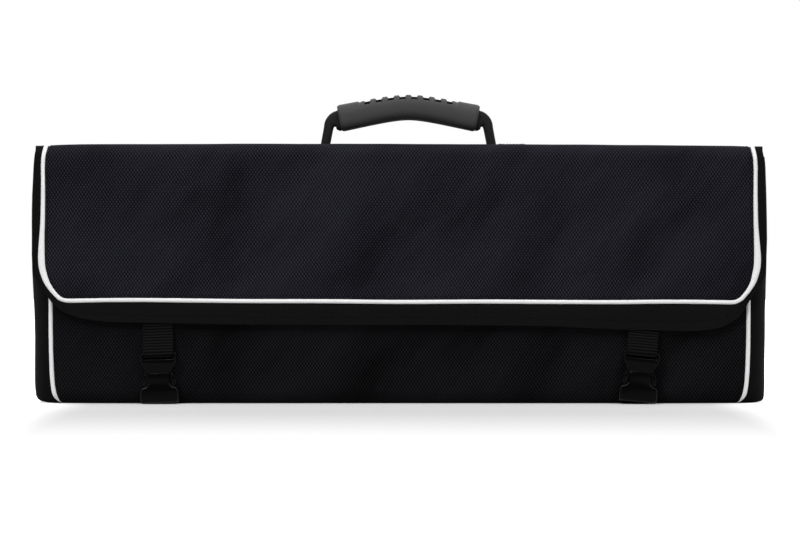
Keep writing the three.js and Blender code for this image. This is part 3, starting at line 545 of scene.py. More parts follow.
def on_top(x, along, lift):
    spot = top_walk.at(along)
    out = outward_of(top_walk, along)
    crown = crown_at(x, along) * ease((lift + 4.5) / 3.5)
    return Vector((x, spot.x + out.x * lift, spot.y + out.y * lift + crown))


def on_body(x, along, lift):
    spot = body_walk.at(along)
    out = outward_of(body_walk, along)
    return Vector((x, spot.x + out.x * lift, spot.y + out.y * lift))


def facing_of(place, x, along):
    """The way out of the cloth at a point."""
    return (place(x, along, 1.0) - place(x, along, 0.0)).normalized()


def body_seam(z):
    return between(body_seam_rows, z)


print("top cloth", round(top_walk.length), "mm and body cloth", round(body_walk.length), "mm long")

# %% [markdown]
# The flap's seam and the edge of its border are each a row of key points: the same number for
# both, so the border can be strung between them. They were measured on the photograph, which is
# not quite symmetric: beside the right-hand strap the border hangs a few millimetres lower. A
# little smoothing rounds the corners the way piping refuses to kink.

# %% The seam and the border's edge on the flat
left_lid = [(0, 236.2, 243.0), (30, 236.3, 248.1), (56, 236.4, 244.4)]
right_lid = [(0, 236.0, 242.6), (30, 236.1, 247.5), (56, 236.2, 243.8)]
left_flap = [
    (236.7, 170, 242.9, 170), (237.6, 165, 243.6, 165), (238.0, 158, 244.0, 158), (237.8, 147, 244.4, 147),
    (237.9, 134, 244.7, 134), (238.1, 121, 244.9, 120), (238.8, 109, 245.0, 107), (239.0, 99, 245.0, 96),
    (238.8, 93, 244.9, 89), (238.2, 89.2, 244.6, 86), (235.7, 81.4, 240.6, 79.6), (231.9, 75.6, 236.0, 73),
    (226.8, 70.2, 231.0, 66.6), (222.3, 68.8, 226.0, 62.0), (212, 69.0, 214, 57.2), (195, 69.3, 196, 54.6),
    (172, 69.4, 172, 54.2), (146, 69.1, 146, 53.6), (99, 68.6, 99, 52.8), (50, 68.6, 50, 52.7),
]
right_flap = [
    (236.2, 170, 242.2, 170), (237.1, 165, 243.0, 165), (237.6, 158, 243.4, 158), (237.5, 147, 243.8, 147),
    (237.5, 134, 244.1, 134), (237.7, 121, 244.4, 120), (238.4, 109, 244.6, 107), (238.9, 99, 244.6, 96),
    (238.8, 93, 244.5, 89), (238.2, 89.2, 244.2, 86), (236.2, 81.4, 240.6, 79.4), (232.8, 75.6, 236.2, 72.6),
    (227.9, 69.8, 231.2, 65.4), (223.6, 67.7, 227.0, 57.8), (214, 67.9, 215, 50.8), (197, 68.2, 198, 48.3),
    (175, 68.3, 176, 49.0), (146, 67.9, 147, 49.5), (100, 68.1, 100, 51.9), (54, 68.4, 54, 52.4),
]


def trim_half(side, lid, flap):
    """Pairs of points on the flat cloth, on the seam and on the border's edge, from the back on."""
    pairs = [(Vector((side * seam, along)), Vector((side * edge, along))) for along, seam, edge in lid]
    for seam_x, seam_z, edge_x, edge_z in flap:
        pairs.append((Vector((side * seam_x, along_of(seam_z))), Vector((side * edge_x, along_of(edge_z)))))
    return pairs


def smoothed(points, per_key, passes):
    fine = []
    for before, after in zip(points, points[1:]):
        fine += [before.lerp(after, k / per_key) for k in range(per_key)]
    fine.append(points[-1])
    for _ in range(passes):
        fine = [fine[0]] + [
            (fine[k - 1] + fine[k] * 2 + fine[k + 1]) / 4 for k in range(1, len(fine) - 1)
        ] + [fine[-1]]
    return fine


middle_pair = [(Vector((0, along_of(68.0))), Vector((0, along_of(52.6))))]
trim_pairs = trim_half(-1, left_lid, left_flap) + middle_pair + trim_half(1, right_lid, right_flap)[::-1]
seam_line = smoothed([pair[0] for pair in trim_pairs], 8, 5)
edge_line = smoothed([pair[1] for pair in trim_pairs], 8, 8)
corner_x = 222.5
seam_sides = {
    side: sorted((p.y, abs(p.x)) for p in seam_line if p.x * side > corner_x) for side in (-1, 1)
}
seam_foot = sorted((p.x, p.y) for p in seam_line if abs(p.x) < corner_x)
foot_along = along_of(69)


def seam_reach(along, side):
    """How far the top cloth's seam is from the middle, at a distance along the cloth."""
    return between(seam_sides[side], along)


print("seam points:", len(seam_line), "lowest seam", round(max(p.y for p in seam_line), 1))

# %% [markdown]
# ## Cloth over the lid and flap
# One woven cloth crosses the lid, turns over its front edge in a soft fold and covers the flap.
# It is glued to stiff board, so it is nearly flat: broad shallow swells of about half a
# millimetre, a slight dip where it is pulled under the piping, and no sharp creases. A cloth
# simulation would add folds that this case hasn't, so the swells are placed by noise instead.

# %% The top cloth
def swell(x, along):
    """Shallow swells of the glued cloth, in millimetres."""
    broad = 0.55 * ripple(x, along, 75, 1) + 0.25 * ripple(x, along, 28, 2)
    drag = 0.35 * math.sin((x * 0.6 + along * 1.1) / 21) * ease((along - flap_from - 20) / 60)
    return broad + drag * ripple(x, along, 120, 3)


def top_spot(u, level, inset):
    """Where the top cloth lies on its flat development, at a level down from the back."""
    left, right = seam_reach(level, -1) - inset, seam_reach(level, 1) - inset
    x = -left + (left + right) * u
    drop = (between(seam_foot, x) - foot_along) * ease((level - foot_along + 30) / 30)
    return x, level + drop, min(x + left, right - x)


seam_tuck = 0.7
cover_foot = foot_along - 0.9


def top_place(u, v, depth):
    level = v * cover_foot
    x, along, to_side = top_spot(u, level, seam_tuck)
    to_foot = foot_along - level
    near = math.exp(-(min(to_side, to_foot) / 1.7) ** 2)
    calm = ease(min(to_side, to_foot, along) / 14)
    pucker = 0.12 * math.sin(along / 2.1) * math.exp(-to_side / 5) * (1 - near)
    return on_top(x, along, swell(x, along) * calm + pucker - 0.95 * near - depth)


def rows_for(walk, step, last=None):
    """Shares of the route up to last, one row about every step and one at each corner point."""
    last = last or walk.length
    marks = [d for d in walk.stations(step) if d < last - 0.5] + [last]
    return [d / last for d in marks]


rows_at_foot = [0.98, 0.987, 0.994]
top_rows = sorted(rows_for(top_walk, 3.2, cover_foot) + rows_at_foot)
top_cover = cloth(
    "top_cover", top_place, spread(130), top_rows, cover_thick,
    lambda u, v: top_spot(u, v * cover_foot, seam_tuck)[:2], nylon, ("lid_cover", "flap_cover"),
)
print("top cover faces:", len(top_cover.data.polygons), "area", round(top_cover["cloth_area"], 4))

# %% [markdown]
# ## Cloth round the body
# The second cloth is the front wall, the bottom and the back wall in one, bent round the bottom
# edges, and its top end at the back is the hinge that the lid turns on. Near the piping it
# puckers a little, since the seam there is sewn through several layers.

# %% The body cloth
def body_spot(u, v):
    along = v * body_walk.length
    reach = body_seam(body_walk.at(along).y) - seam_tuck
    return (2 * u - 1) * reach, along, reach


def body_place(u, v, depth):
    x, along, reach = body_spot(u, v)
    spot, to_side = body_walk.at(along), reach - abs(x)
    near = math.exp(-(to_side / 1.7) ** 2)
    calm = ease(to_side / 12) * ease((spot.y - 4) / 22) * ease((lid_top - 4 - spot.y) / 14)
    wander = 0.55 * ripple(x, along, 60, 4) + 0.3 * ripple(x, along, 24, 5)
    pucker = 0.22 * math.sin(spot.y / 2.6 + ripple(x, along, 30, 6))
    pucker *= math.exp(-to_side / 9) * ease(spot.y / 10)
    sunk = 0.9 * near * ease(spot.y / 8)
    return on_body(x, along, wander * calm + pucker * (1 - near) - sunk - depth)


# The body cloth wears the darker copy of the nylon, which paints its shade.
body_cover = cloth(
    "body_cover", body_place, spread(120), rows_for(body_walk, 4.0), cover_thick,
    lambda u, v: body_spot(u, v)[:2], shaded_nylon_copy, ("front_cover", "bottom_cover", "back_cover"),
)
print("body cover faces:", len(body_cover.data.polygons), "area", round(body_cover["cloth_area"], 4))

# %% [markdown]
# ## White piping
# Piping is a cord in a folded strip of white cloth, caught in the seam. It stands a little proud
# of the cloth. On the flap's sides the strip spreads and shows wider, about halfway up. A curve
# with a bevel would give an even tube; a swept ring lets the width change along the route.

# %% Piping round the top cloth
def piping_route(line, place, proud):
    """Stations of piping that stands proud(p) millimetres out of the cloth, and the ways out."""
    points = [place(p.x, p.y, proud(p) - piping_radius) for p in line]
    return points, [facing_of(place, p.x, p.y) for p in line]


def resampled(line, step):
    """The same line with its points about one step apart."""
    walk = Walk(line)
    return [walk.at(walk.length * t) for t in even(round(walk.length / step))]


trim_line = resampled(seam_line, 2.4)
trim_points, trim_ups = piping_route(trim_line, on_top, lambda p: 0.85 + 0.14 * ripple(p.x, p.y, 16, 8))
strip_rows = [
    (68, 1.4), (74, 1.45), (78, 1.7), (82, 2.0), (86, 2.25), (92, 2.4), (97, 2.42), (102, 2.27), (109, 1.93),
    (116, 1.68), (123, 1.53), (136, 1.44), (149, 1.36), (166, 1.38),
]


def strip_width(p):
    """The strip's half width: it spreads low down on the flap's sides."""
    wide = between(strip_rows, height_of(p.y)) if abs(p.x) > 225 else 1.4
    return wide * (1.0 + 0.04 * ripple(p.x, p.y, 9, 9))


top_piping = cord_piece(
    "top_piping", trim_points, trim_ups, [strip_width(p) for p in trim_line],
    [piping_radius] * len(trim_line), round_ring(), piping_cloth,
    ("flap_piping", "left_lid_piping", "right_lid_piping"),
)
print("top piping stations:", len(trim_points))

# %% Piping round the body's ends
def body_line(side):
    """The seam of one end, from the top of the front wall, under the case and up the back."""
    marks = [d for d in body_walk.stations(2.6) if body_walk.at(d).y < wall_top - 0.6]
    return [Vector((side * body_seam(body_walk.at(d).y), d)) for d in marks]


for name, side in sides.items():
    line = body_line(side)
    points, ups = piping_route(
        line, on_body, lambda p: 0.8 * ease(body_walk.at(p.y).y / 9) + 0.1 * ripple(p.x, p.y, 15, 10 + side),
    )
    thick = [piping_radius * (0.97 + 0.05 * ripple(p.x, p.y, 8, 12)) for p in line]
    top = Vector((points[0].x, points[0].y, wall_top - 1.0))
    points, ups, thick = [top] + points, [ups[0]] + ups, [thick[0]] + thick
    piece = cord_piece(
        f"{name}_body_piping_cord", points, ups, thick, [piping_radius] * len(points), round_ring(),
        piping_cloth, (f"{name}_body_piping",),
    )
    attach(piece, "case_body")
    print(piece.name, "stations:", len(points))

# %% [markdown]
# ## Border of the lid and flap
# Outside the piping runs a plain border, cut as a strip and hemmed. On the lid's ends it curls
# down over the body, and below the flap it hangs as a skirt over the straps. It is strung
# between the seam line and the edge line of the flat development, then waved a little.

# %% The border
border_rows = [0.0, 0.1, 0.25, 0.45, 0.62, 0.74, 0.84, 0.92, 0.97, 1.0]
border_count = len(seam_line) - 1


def border_place(u, v, depth):
    k = min(border_count - 1, int(u * border_count + 1e-6))
    share = u * border_count - k
    inner = seam_line[k].lerp(seam_line[k + 1], share)
    outer = edge_line[k].lerp(edge_line[k + 1], share)
    away = (outer - inner).normalized()
    flat = (inner + away * 0.5).lerp(outer, v)
    on_lid = ease((fold_at - 2 - flat.y) / 6)
    curl = -3.4 * on_lid * ease((v - 0.45) / 0.55) ** 2
    skirt = ease((flat.y - along_of(64)) / 8)
    wavy = (0.45 * ripple(flat.x, 0, 34, 14) + 0.2 * ripple(flat.x, 0, 13, 15)) * v * skirt
    hem = 0.28 * math.exp(-((v - 0.62) / 0.05) ** 2) * skirt
    tuck = 0.8 * math.exp(-(v / 0.08) ** 2)
    thick = depth * (1 + 0.35 * ease((v - 0.62) / 0.1) * skirt)
    return on_top(flat.x, flat.y, curl + wavy - hem - tuck - thick)


trim_border = cloth(
    "trim_border", border_place, even(border_count), border_rows, 1.1,
    lambda u, v: (u * 1080, v * 15), plain,
    ("flap_border", "left_lid_border", "right_lid_border"), rim=0.3,
)
print("border faces:", len(trim_border.data.polygons), "area", round(trim_border["cloth_area"], 4))

# %% [markdown]
# ## Boards of the lid and flap
# The stiff boards inside the lid and the flap stop short of the fold, so the cloth has room to
# turn. They are cut here with rounded rims, a little smaller than the cloth that covers them.

# %% Boards of the lid and flap
bm = bmesh.new()
block(bm, -234, 234, -25.4, back_face - 1.6, low("lid_board").z, high("lid_board").z, 0.5)
lid_panel = finished(bm, "lid_panel", stiff_board, ("lid_board",))
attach(lid_panel, "lid")
flap_half = [(235.4, 162.8), (236.2, 140), (236.4, 94), (220.5, 72.6)]
bm = bmesh.new()
moulding(bm, both_sides(flap_half), low("flap_board").y, high("flap_board").y, 0.5, 2)
flap_panel = finished(bm, "flap_panel", stiff_board, ("flap_board",))
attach(flap_panel, "flap")
print("boards cut:", lid_panel.name, flap_panel.name)

# %% [markdown]
# ## Lining of the lid and flap
# Inside, one lining covers both boards and bridges the fold, so the case shows no raw edge when
# the flap hangs open. Its edges rise to meet the cover under the piping.

# %% The top lining
lining_lift = -(lid_top - lid_low)


def top_lining_place(u, v, depth):
    x, along, to_side = top_spot(u, 1.4 + v * (foot_along - 3.0), 1.5)
    edge = min(to_side, (1 - v) * foot_along, along)
    rise = 2.7 * (1 - ease(edge / 3.2))
    calm = 0.25 * ripple(x, along, 55, 16) * ease(edge / 15)
    return on_top(x, along, lining_lift + rise + calm + 0.3 + depth * 0.8)


top_lining = cloth(
    "top_lining", top_lining_place, spread(60), rows_for(top_walk, 5.0, foot_along), 1.0,
    lambda u, v: ((2 * u - 1) * 236, v * foot_along), lining_cloth, ("lid_lining", "flap_lining"),
)
print("top lining area", round(top_lining["cloth_area"], 4))

# %% [markdown]
# ## Bulging end gussets
# The ends are plain cloth over foam. Between its two piped seams each end swells out, and it is
# turned in over the foam at the top and sewn to the bottom. The real one shows soft upright
# wrinkles where the foam gives.

# %% End gussets and their pads
end_rows = [
    (0, 240), (0.9, 243.6), (2, 245.2), (3.3, 246.1), (6, 246.7), (12.7, 246.9), (22, 246.8), (36, 246.9),
    (50, 247.1), (63, 247.5), (76, 248.2), (90, 248.9), (102, 249.3), (115, 249.4), (136, 249.1),
    (149, 248.7), (158.7, 248.2), (166.5, 247.4),
]
right_end_extra = [(0, 2.7), (0.9, 2.3), (2, 1.5), (3.3, 0.9), (6, 0.55), (12, 0.4), (50, 0.4), (95, -0.45)]


def end_centre(z, side):
    """How far the middle of an end swells out; the right end is squarer at its foot."""
    return between(end_rows, z) + (between(right_end_extra, z) if side > 0 else 0.0)


def end_reach(z, inset=0.0):
    """Half the depth of an end at a height, less an inset, round the bend at the bottom."""
    bend = bottom_radius - inset
    if z >= bottom_radius:
        return half_depth - inset
    return half_depth - bottom_radius + math.sqrt(max(0.0, bend ** 2 - (bottom_radius - z) ** 2))


def fullness(swing):
    """How full an end is across its depth: 0 at both seams and 1 in the middle."""
    return (1 - abs(swing) ** 2.6) ** 0.6


end_heights = [0, 0, 0.8, 2.2, 4.5, 8, 11, 14, 20, 27, 35, 44, 53, 62, 71, 80, 90, 100, 110, 120, 130]
end_heights += [140, 148, 155, 160, 163.5, 165.6, 166.5, 166.5, 166.5]
top_row = len(end_heights) - 1


def end_place(side, inner):
    """The first row is turned under to the seam, and the last three are turned in over the foam."""
    def place(u, v, depth):
        row = round(v * top_row)
        z = end_heights[row]
        swing = math.sin((u - 0.5) * math.pi)
        y = swing * end_reach(z)
        edge = body_seam(z) + 1.1
        bulge = fullness(swing)
        x = edge + (end_centre(z, side) - edge) * bulge
        creases = 0.35 * ripple(y * 2.2, z * 0.55, 24, 17 + side) + 0.25 * ripple(y * 3, z, 17, 19 + side)
        x += creases * bulge * ease(z / 14) - depth
        turned_in = {0: edge, top_row - 2: x - 0.9, top_row - 1: x + (inner - x) * 0.45, top_row: inner}
        x = turned_in.get(row, x)
        lowered = depth if row > top_row - 3 else 0
        return Vector((side * x, middle_y + y * (1 if row < top_row - 1 else 0.97), z - lowered))
    return place


for name, side in sides.items():
    board_xs = abs(low(f"{name}_end_board").x), abs(high(f"{name}_end_board").x)
    gusset = cloth(
        f"{name}_gusset", end_place(side, sum(board_xs) / 2), even(36), even(top_row), 1.1,
        lambda u, v: (u * 82, v * 190), gusset_cloth, (f"{name}_end_gusset",), sharp=70,
    )
    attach(gusset, "case_body")
    print(gusset.name, "area", round(gusset["cloth_area"], 4))


def pad_place(side, back):
    """The foam follows the gusset from inside and is flat against the board."""
    def place(u, v, depth):
        z = 4.5 + v * (wall_top - 6.5)
        swing = math.sin((u - 0.5) * math.pi) * 0.985
        y = swing * end_reach(z, 4)
        edge = body_seam(z) + 3.2
        x = edge + (end_centre(z, side) - 2.6 - edge) * fullness(swing)
        return Vector((side * (x if depth == 0 else back), middle_y + y, z))
    return place


for name, side in sides.items():
    back = max(abs(low(f"{name}_end_board").x), abs(high(f"{name}_end_board").x)) + 0.3
    pad = cloth(
        f"{name}_foam_pad", pad_place(side, back), even(20), even(24), 1.0,
        lambda u, v: (u * 60, v * 160), pad_foam, (f"{name}_end_pad",), sharp=70,
    )
    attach(pad, "case_body")
print("end pads made")

# %% [markdown]
# ## Lining and fittings inside the body
# Inside, a lining lies on the front wall, the floor and the back wall, and a folded tape closes
# the top edge of each wall. Pocket sheets are sewn down in rows, so the cloth swells between
# the rows and leaves channels for blades, and an elastic band beside them holds the handles.

# %% Linings of the body
inner_front = low("lining").y + 0.8
inner_back = high("lining").y - 0.8
floor_top = low("lining").z + 0.8
panel_half = high("lining").x
lining_walk = Walk(filleted([
    (inner_front, high("lining").z, 0), (inner_front, floor_top, 9), (inner_back, floor_top, 9),
    (inner_back, high("lining").z, 0),
]))


def body_lining_place(u, v, depth):
    along = v * lining_walk.length
    spot, ahead = lining_walk.at(along), lining_walk.ahead(along)
    inward = Vector((-ahead.y, ahead.x))
    x = (2 * u - 1) * panel_half
    edge = min(panel_half - abs(x), along, lining_walk.length - along)
    lift = 0.25 * ripple(x, along, 50, 21) * ease(edge / 15) - depth
    return Vector((x, spot.x + inward.x * lift, spot.y + inward.y * lift))


body_lining = cloth(
    "body_lining", body_lining_place, spread(60, 0.3), rows_for(lining_walk, 6), 0.8,
    lambda u, v: ((2 * u - 1) * panel_half, v * lining_walk.length), lining_cloth, ("lining",),
)
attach(body_lining, "case_body")
for name, side in sides.items():
    node_low, node_high = low(f"{name}_end_lining"), high(f"{name}_end_lining")
    face = node_low.x if side > 0 else node_high.x

    def end_lining_place(u, v, depth):
        y = part_way(node_low.y, node_high.y, u)
        z = part_way(node_low.z, node_high.z, v)
        edge = min(y - node_low.y, node_high.y - y, z - node_low.z, node_high.z - z)
        return Vector((face + side * (depth * 0.9 + 0.2 * ripple(y, z, 30, 22) * ease(edge / 8)), y, z))

    piece = cloth(
        f"{name}_end_lining_cloth", end_lining_place, even(14), even(30), 0.8,
        lambda u, v: (u * 53, v * 161), lining_cloth, (f"{name}_end_lining",),
    )
    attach(piece, "case_body")
print("body lining area", round(body_lining["cloth_area"], 4))

# %% Folded tape over the wall edges
for name in ("front", "back"):
    box_low, box_high = low(f"{name}_edge_binding"), high(f"{name}_edge_binding")
    tape_walk = Walk(filleted([
        (box_low.y, box_low.z, 0), (box_low.y, box_high.z, 1.6), (box_high.y, box_high.z, 1.6),
        (box_high.y, box_low.z, 0),
    ], 5))

    def tape_place(u, v, depth):
        along = v * tape_walk.length
        spot, ahead = tape_walk.at(along), tape_walk.ahead(along, 0.3)
        x = part_way(box_low.x, box_high.x, u)
        clear_of_hinge = 0.5 if name == "back" and v > 0.75 else 0
        lift = 0.15 * ripple(x, along, 12, 23) - depth - clear_of_hinge
        return Vector((x, spot.x - ahead.y * lift, spot.y + ahead.x * lift))

    piece = cloth(
        f"{name}_wall_tape", tape_place, even(90), rows_for(tape_walk, 2), 0.8,
        lambda u, v: (u * 456, v * 22), tape_cloth, (f"{name}_edge_binding",),
    )
    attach(piece, "case_body")
print("wall tapes made, each", round(tape_walk.length, 1), "mm wide when flat")

# %% Pocket sheets with sewn channels
channel_count, channel_rise, sewn_lift = 4, 1.5, 1.3


def channel_lift(share):
    return channel_rise * abs(math.sin(share * channel_count * math.pi)) ** 0.7


def sewn_face(node_name, sign):
    """The y of a sheet's sewn face, when its swelling side faces along sign in y."""
    return low(node_name).y if sign > 0 else high(node_name).y


def pocket(name, node_name, sign, body):
    box_low, box_high, face_y = low(node_name), high(node_name), sewn_face(node_name, sign)
    width, height = box_high.x - box_low.x, box_high.z - box_low.z

    def place(u, v, depth):
        x, z = box_low.x + width * u, box_low.z + height * v
        sag = 1 + 0.35 * ripple(x, z, 45, 24) + 0.12 * math.sin(x / 9)
        open_end = 1 + 0.35 * math.exp(-min(x - box_low.x, 30) / 9)
        lift = sewn_lift + channel_lift(v) * sag * min(1.25, open_end) * 0.85
        return Vector((x, face_y + sign * (lift - depth), z))

    piece = cloth(
        name, place, even(60), even(channel_count * 10), 0.7,
        lambda u, v: (u * width, v * height), lining_cloth, (node_name,), sharp=75,
    )
    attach(piece, body)


pockets = [
    ("front_wall_pockets", "front_pocket_stitches", "front_pocket_sheet", 1, "case_body", "front_board"),
    ("back_wall_pockets", "back_pocket_stitches", "back_pocket_sheet", -1, "case_body", "back_board"),
    ("page_front_pockets", "page_front_stitches", "divider_front_sheet", -1, "divider", "divider_board"),
    ("page_back_pockets", "page_back_stitches", "divider_back_sheet", 1, "divider", "divider_board"),
]
for name, _, node_name, sign, body, board in pockets:
    pocket(name, node_name, sign, body)
print("pocket sheets made:", len(pockets))

# %% Elastic bands and the divider's hinge tape
for name, sign in (("front", 1), ("back", -1)):
    box_low, box_high = low(f"{name}_elastic_band"), high(f"{name}_elastic_band")
    face = box_low.y if sign > 0 else box_high.y

    def band_place(u, v, depth):
        x = part_way(box_low.x, box_high.x, u)
        z = part_way(box_low.z, box_high.z, v)
        loops = 0.9 * abs(math.sin(v * 4 * math.pi)) ** 0.6
        cords = 0.12 * math.sin(u * 14 * math.pi)
        return Vector((x, face + sign * (0.8 + loops * 0.6 + cords - depth), z))

    piece = cloth(
        f"{name}_handle_elastic", band_place, even(42), even(48), 0.7,
        lambda u, v: (u * 38, v * 136), elastic_cloth, (f"{name}_elastic_band",), sharp=75,
    )
    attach(piece, "case_body")
tape_low, tape_high = low("divider_hinge_tape"), high("divider_hinge_tape")


def hinge_tape_place(u, v, depth):
    x = part_way(tape_low.x, tape_high.x, u)
    y = part_way(tape_low.y, tape_high.y, v)
    return Vector((x, y, tape_high.z + 0.12 * ripple(x, y, 14, 26) - depth))


hinge_tape = cloth(
    "floor_hinge_tape", hinge_tape_place, even(80), even(8), 0.7,
    lambda u, v: (u * 444, v * 18), tape_cloth, ("divider_hinge_tape",),
)
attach(hinge_tape, "case_body")
print("bands and hinge tape made")

# %% [markdown]
# The divider page is a board bound on all four sides with folded tape. One ring of section,
# swept once round the page and closed on itself, gives the tape its even roll.

# %% Binding of the divider page
page_low, page_high = low("divider_binding"), high("divider_binding")
tape_half, page_corner = 4.1, 9
left_x, right_x = page_low.x + tape_half, page_high.x - tape_half
foot_z, head_z = page_low.z + tape_half, page_high.z - tape_half
page_walk = Walk(filleted([
    (0, foot_z, 0), (right_x, foot_z, page_corner), (right_x, head_z, page_corner),
    (left_x, head_z, page_corner), (left_x, foot_z, page_corner), (0, foot_z, 0),
]))
page_marks = page_walk.stations(7)
page_points = [Vector((page_walk.at(d).x, middle_y, page_walk.at(d).y)) for d in page_marks]
page_binding = cord_piece(
    "page_binding", page_points, [Vector((0, 1, 0))] * len(page_points),
    [tape_half * (1 + 0.02 * ripple(p.x, p.z, 20, 27)) for p in page_points],
    [(page_high.y - page_low.y) / 2] * len(page_points), soft_ring(5), tape_cloth,
    ("divider_binding",),
)
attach(page_binding, "divider")
print("page binding", round(page_walk.length), "mm long")

# %% [markdown]
# ## Straps
# Nylon webbing has a rib about every two millimetres, which is real relief and not a print, so
# the section is made thicker and thinner from station to station. Each strap comes down behind
# the border, turns round the plug's bar and goes up again. Straps never hang quite true: each
# buckle leans by a few degrees, about the point where its socket's foot clears the floor.

# %% Where the buckles stand
buckle_x, buckle_y = 160.4, -32.9
socket_foot, socket_half_width, floor_gap = 20.5, 12.4, 0.4


def buckle_stand(side, lean_degrees):
    """Takes a buckle drawn round its own middle, facing front, to its place and lean."""
    lean = math.radians(lean_degrees)
    height = floor_gap + socket_foot * math.cos(lean) + socket_half_width * abs(math.sin(lean))
    return Matrix.Translation((side * buckle_x, buckle_y, height)) @ Matrix.Rotation(lean, 4, "Y")


leans = {"left": -2.0, "right": 5.5}
stands = {name: buckle_stand(side, leans[name]) for name, side in sides.items()}


def band_route(walk, marks, stand, reach):
    """Stations of a band that is bent in its own (y, z) plane, and which way its face looks."""
    points, ups = [], []
    for d in marks:
        spot, ahead = walk.at(d), walk.ahead(d, reach)
        points.append(stand @ Vector((0, spot.x, spot.y)))
        ups.append((stand.to_3x3() @ Vector((0, -ahead.y, ahead.x))).normalized())
    return points, ups


print("buckle stands:", {name: round(stand.translation.z, 2) for name, stand in stands.items()})

# %% The two straps
strap_half, rib_pitch, rib_station, strap_top = 10.0, 2.0, 0.36, 66
for name, stand in stands.items():
    top = strap_top - stand.translation.z
    strap_walk = Walk(filleted([
        (4.15, top, 0), (4.15, 25, 8), (2.2, 14, 3), (2.2, 9.7, 2.15), (-2.2, 9.7, 2.15), (-2.2, 14, 3),
        (2.35, 27, 8), (2.35, top, 0),
    ], 6))
    marks = [rib_station * k for k in range(math.ceil(strap_walk.length / rib_station))]
    points, ups = band_route(strap_walk, marks, stand, 0.5)
    ribs = []
    for d in marks:
        round_bar = 1 - ease((abs(strap_walk.at(d).y - 10) - 2.5) / 3)
        ribs.append(0.6 + 0.17 * (1 - 0.8 * round_bar) * math.sin(2 * math.pi * d / rib_pitch))
    widths = [strap_half * (1 + 0.006 * math.sin(2 * math.pi * d / rib_pitch)) for d in marks]
    strap = cord_piece(
        f"{name}_strap_webbing", points, ups, widths, ribs, soft_ring(6, 28), webbing,
        (f"{name}_strap",),
    )
    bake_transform(strap)
    print(strap.name, "length", round(strap_walk.length), "mm")

# %% [markdown]
# ## Buckles
# A side-release buckle has a socket sewn to the case and a plug on the strap. The plug's two
# spring arms bulge out at the socket's sides. Each part is drawn as an outline, extruded and
# given round rims, because the rims are what catches the light on black plastic. The hollow of
# the socket is carved out with a boolean, which is then applied.

# %% Helpers for moulded parts
def curve_through(points, steps=5):
    """A smooth open line through the given points."""
    padded = [points[0]] + points + [points[-1]]
    found = []
    for k in range(1, len(padded) - 2):
        a, b, c, d = (Vector(p) for p in padded[k - 1:k + 3])
        for step in range(steps):
            t = step / steps
            found.append(0.5 * (
                2 * b + (c - a) * t + (2 * a - 5 * b + 4 * c - d) * t ** 2 + (3 * b - a - 3 * c + d) * t ** 3
            ))
    return [tuple(p) for p in found] + [points[-1]]


def rod(bm, radius, half, y, z):
    """A round bar along x."""
    turn = Matrix.Translation((0, y, z)) @ Matrix.Rotation(math.pi / 2, 4, "Y")
    bmesh.ops.create_cone(
        bm, cap_ends=True, segments=20, radius1=radius, radius2=radius, depth=2 * half, matrix=turn
    )


def carved(piece, bm):
    """Cuts the shape in bm out of a piece, and applies the cut."""
    cutter = finished(bm, "cutter", buckle_plastic)
    cut = piece.modifiers.new("cut", "BOOLEAN")
    cut.object, cut.operation, cut.solver = cutter, "DIFFERENCE", "EXACT"
    bpy.context.view_layer.update()
    solid = piece.evaluated_get(bpy.context.evaluated_depsgraph_get())
    mesh = bpy.data.meshes.new_from_object(solid)
    piece.modifiers.clear()
    piece.data = mesh
    bpy.data.objects.remove(cutter)


def stood(bm, stand):
    bmesh.ops.transform(bm, matrix=stand, verts=bm.verts)


# The slot of the rims' finish, whose lighter colour paints their highlight.
highlight_rim_slot = 1
print("moulding helpers ready")

# %% Sockets
shoulder = curve_through([
    (12.65, -14.2), (12.3, -12.3), (11.7, -11.0), (10.6, -10.3), (8.9, -9.8), (7.7, -8.8), (7.15, -7.3),
    (7.0, -5.0),
])
socket_side = [(11.9, -20.45), (12.4, -20.0), (12.7, -18.4), (12.75, -16.2)]
socket_half = socket_side + shoulder + [(7.05, -0.55)]
neck_from = -7.5
for name, stand in stands.items():
    bm = bmesh.new()
    moulding(bm, both_sides(socket_half), -3.75, 3.75, 0.65, 3, highlight_rim_slot)
    # The rims round the socket's mouth keep the plain plastic, with no painted highlight.
    for face in bm.faces:
        if face.calc_center_median().z > neck_from:
            face.material_index = 0
    stood(bm, stand)
    socket = finished(bm, f"{name}_buckle_socket", buckle_plastic, (f"{name}_socket",), 60)
    socket.data.materials.append(rim_highlight_plastic)
    cuts = bmesh.new()
    block(cuts, -11.1, 11.1, -2.15, 2.15, -14.4, 2.0)
    block(cuts, -10.4, 10.4, -1.3, 6.0, -19.2, -15.6)
    stood(cuts, stand)
    carved(socket, cuts)
    socket.data.shade_smooth()
    socket.data.set_sharp_from_angle(angle=math.radians(45))
    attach(socket, "case_body")
    print(socket.name, "faces:", len(socket.data.polygons))

# %% Plug frames
plug_body = curve_through([
    (8.6, -0.45), (8.65, 0.8), (8.9, 1.9), (9.7, 3.2), (10.8, 4.7), (11.5, 6.4), (11.75, 8.4),
])
plug_ear = [(11.85, 10.6), (11.8, 12.2), (11.35, 12.75), (10.85, 12.4), (10.55, 8.9), (10.0, 8.4)]
for name, stand in stands.items():
    bm = bmesh.new()
    moulding(bm, both_sides(plug_body + plug_ear), -3.6, 3.2, 0.55, 3, highlight_rim_slot)
    block(bm, -6.6, 6.6, -1.95, 1.95, -3.0, 0.6, 0.3)
    rod(bm, 1.1, 11.0, 0, 11.7)
    block(bm, -3.1, 3.1, -1.5, 1.5, -13.2, 1.0, 0.4)
    stood(bm, stand)
    plug = finished(bm, f"{name}_buckle_plug", buckle_plastic, (f"{name}_plug_frame",), 50)
    plug.data.materials.append(rim_highlight_plastic)
    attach(plug, f"{name}_plug")
    print(plug.name, "faces:", len(plug.data.polygons))

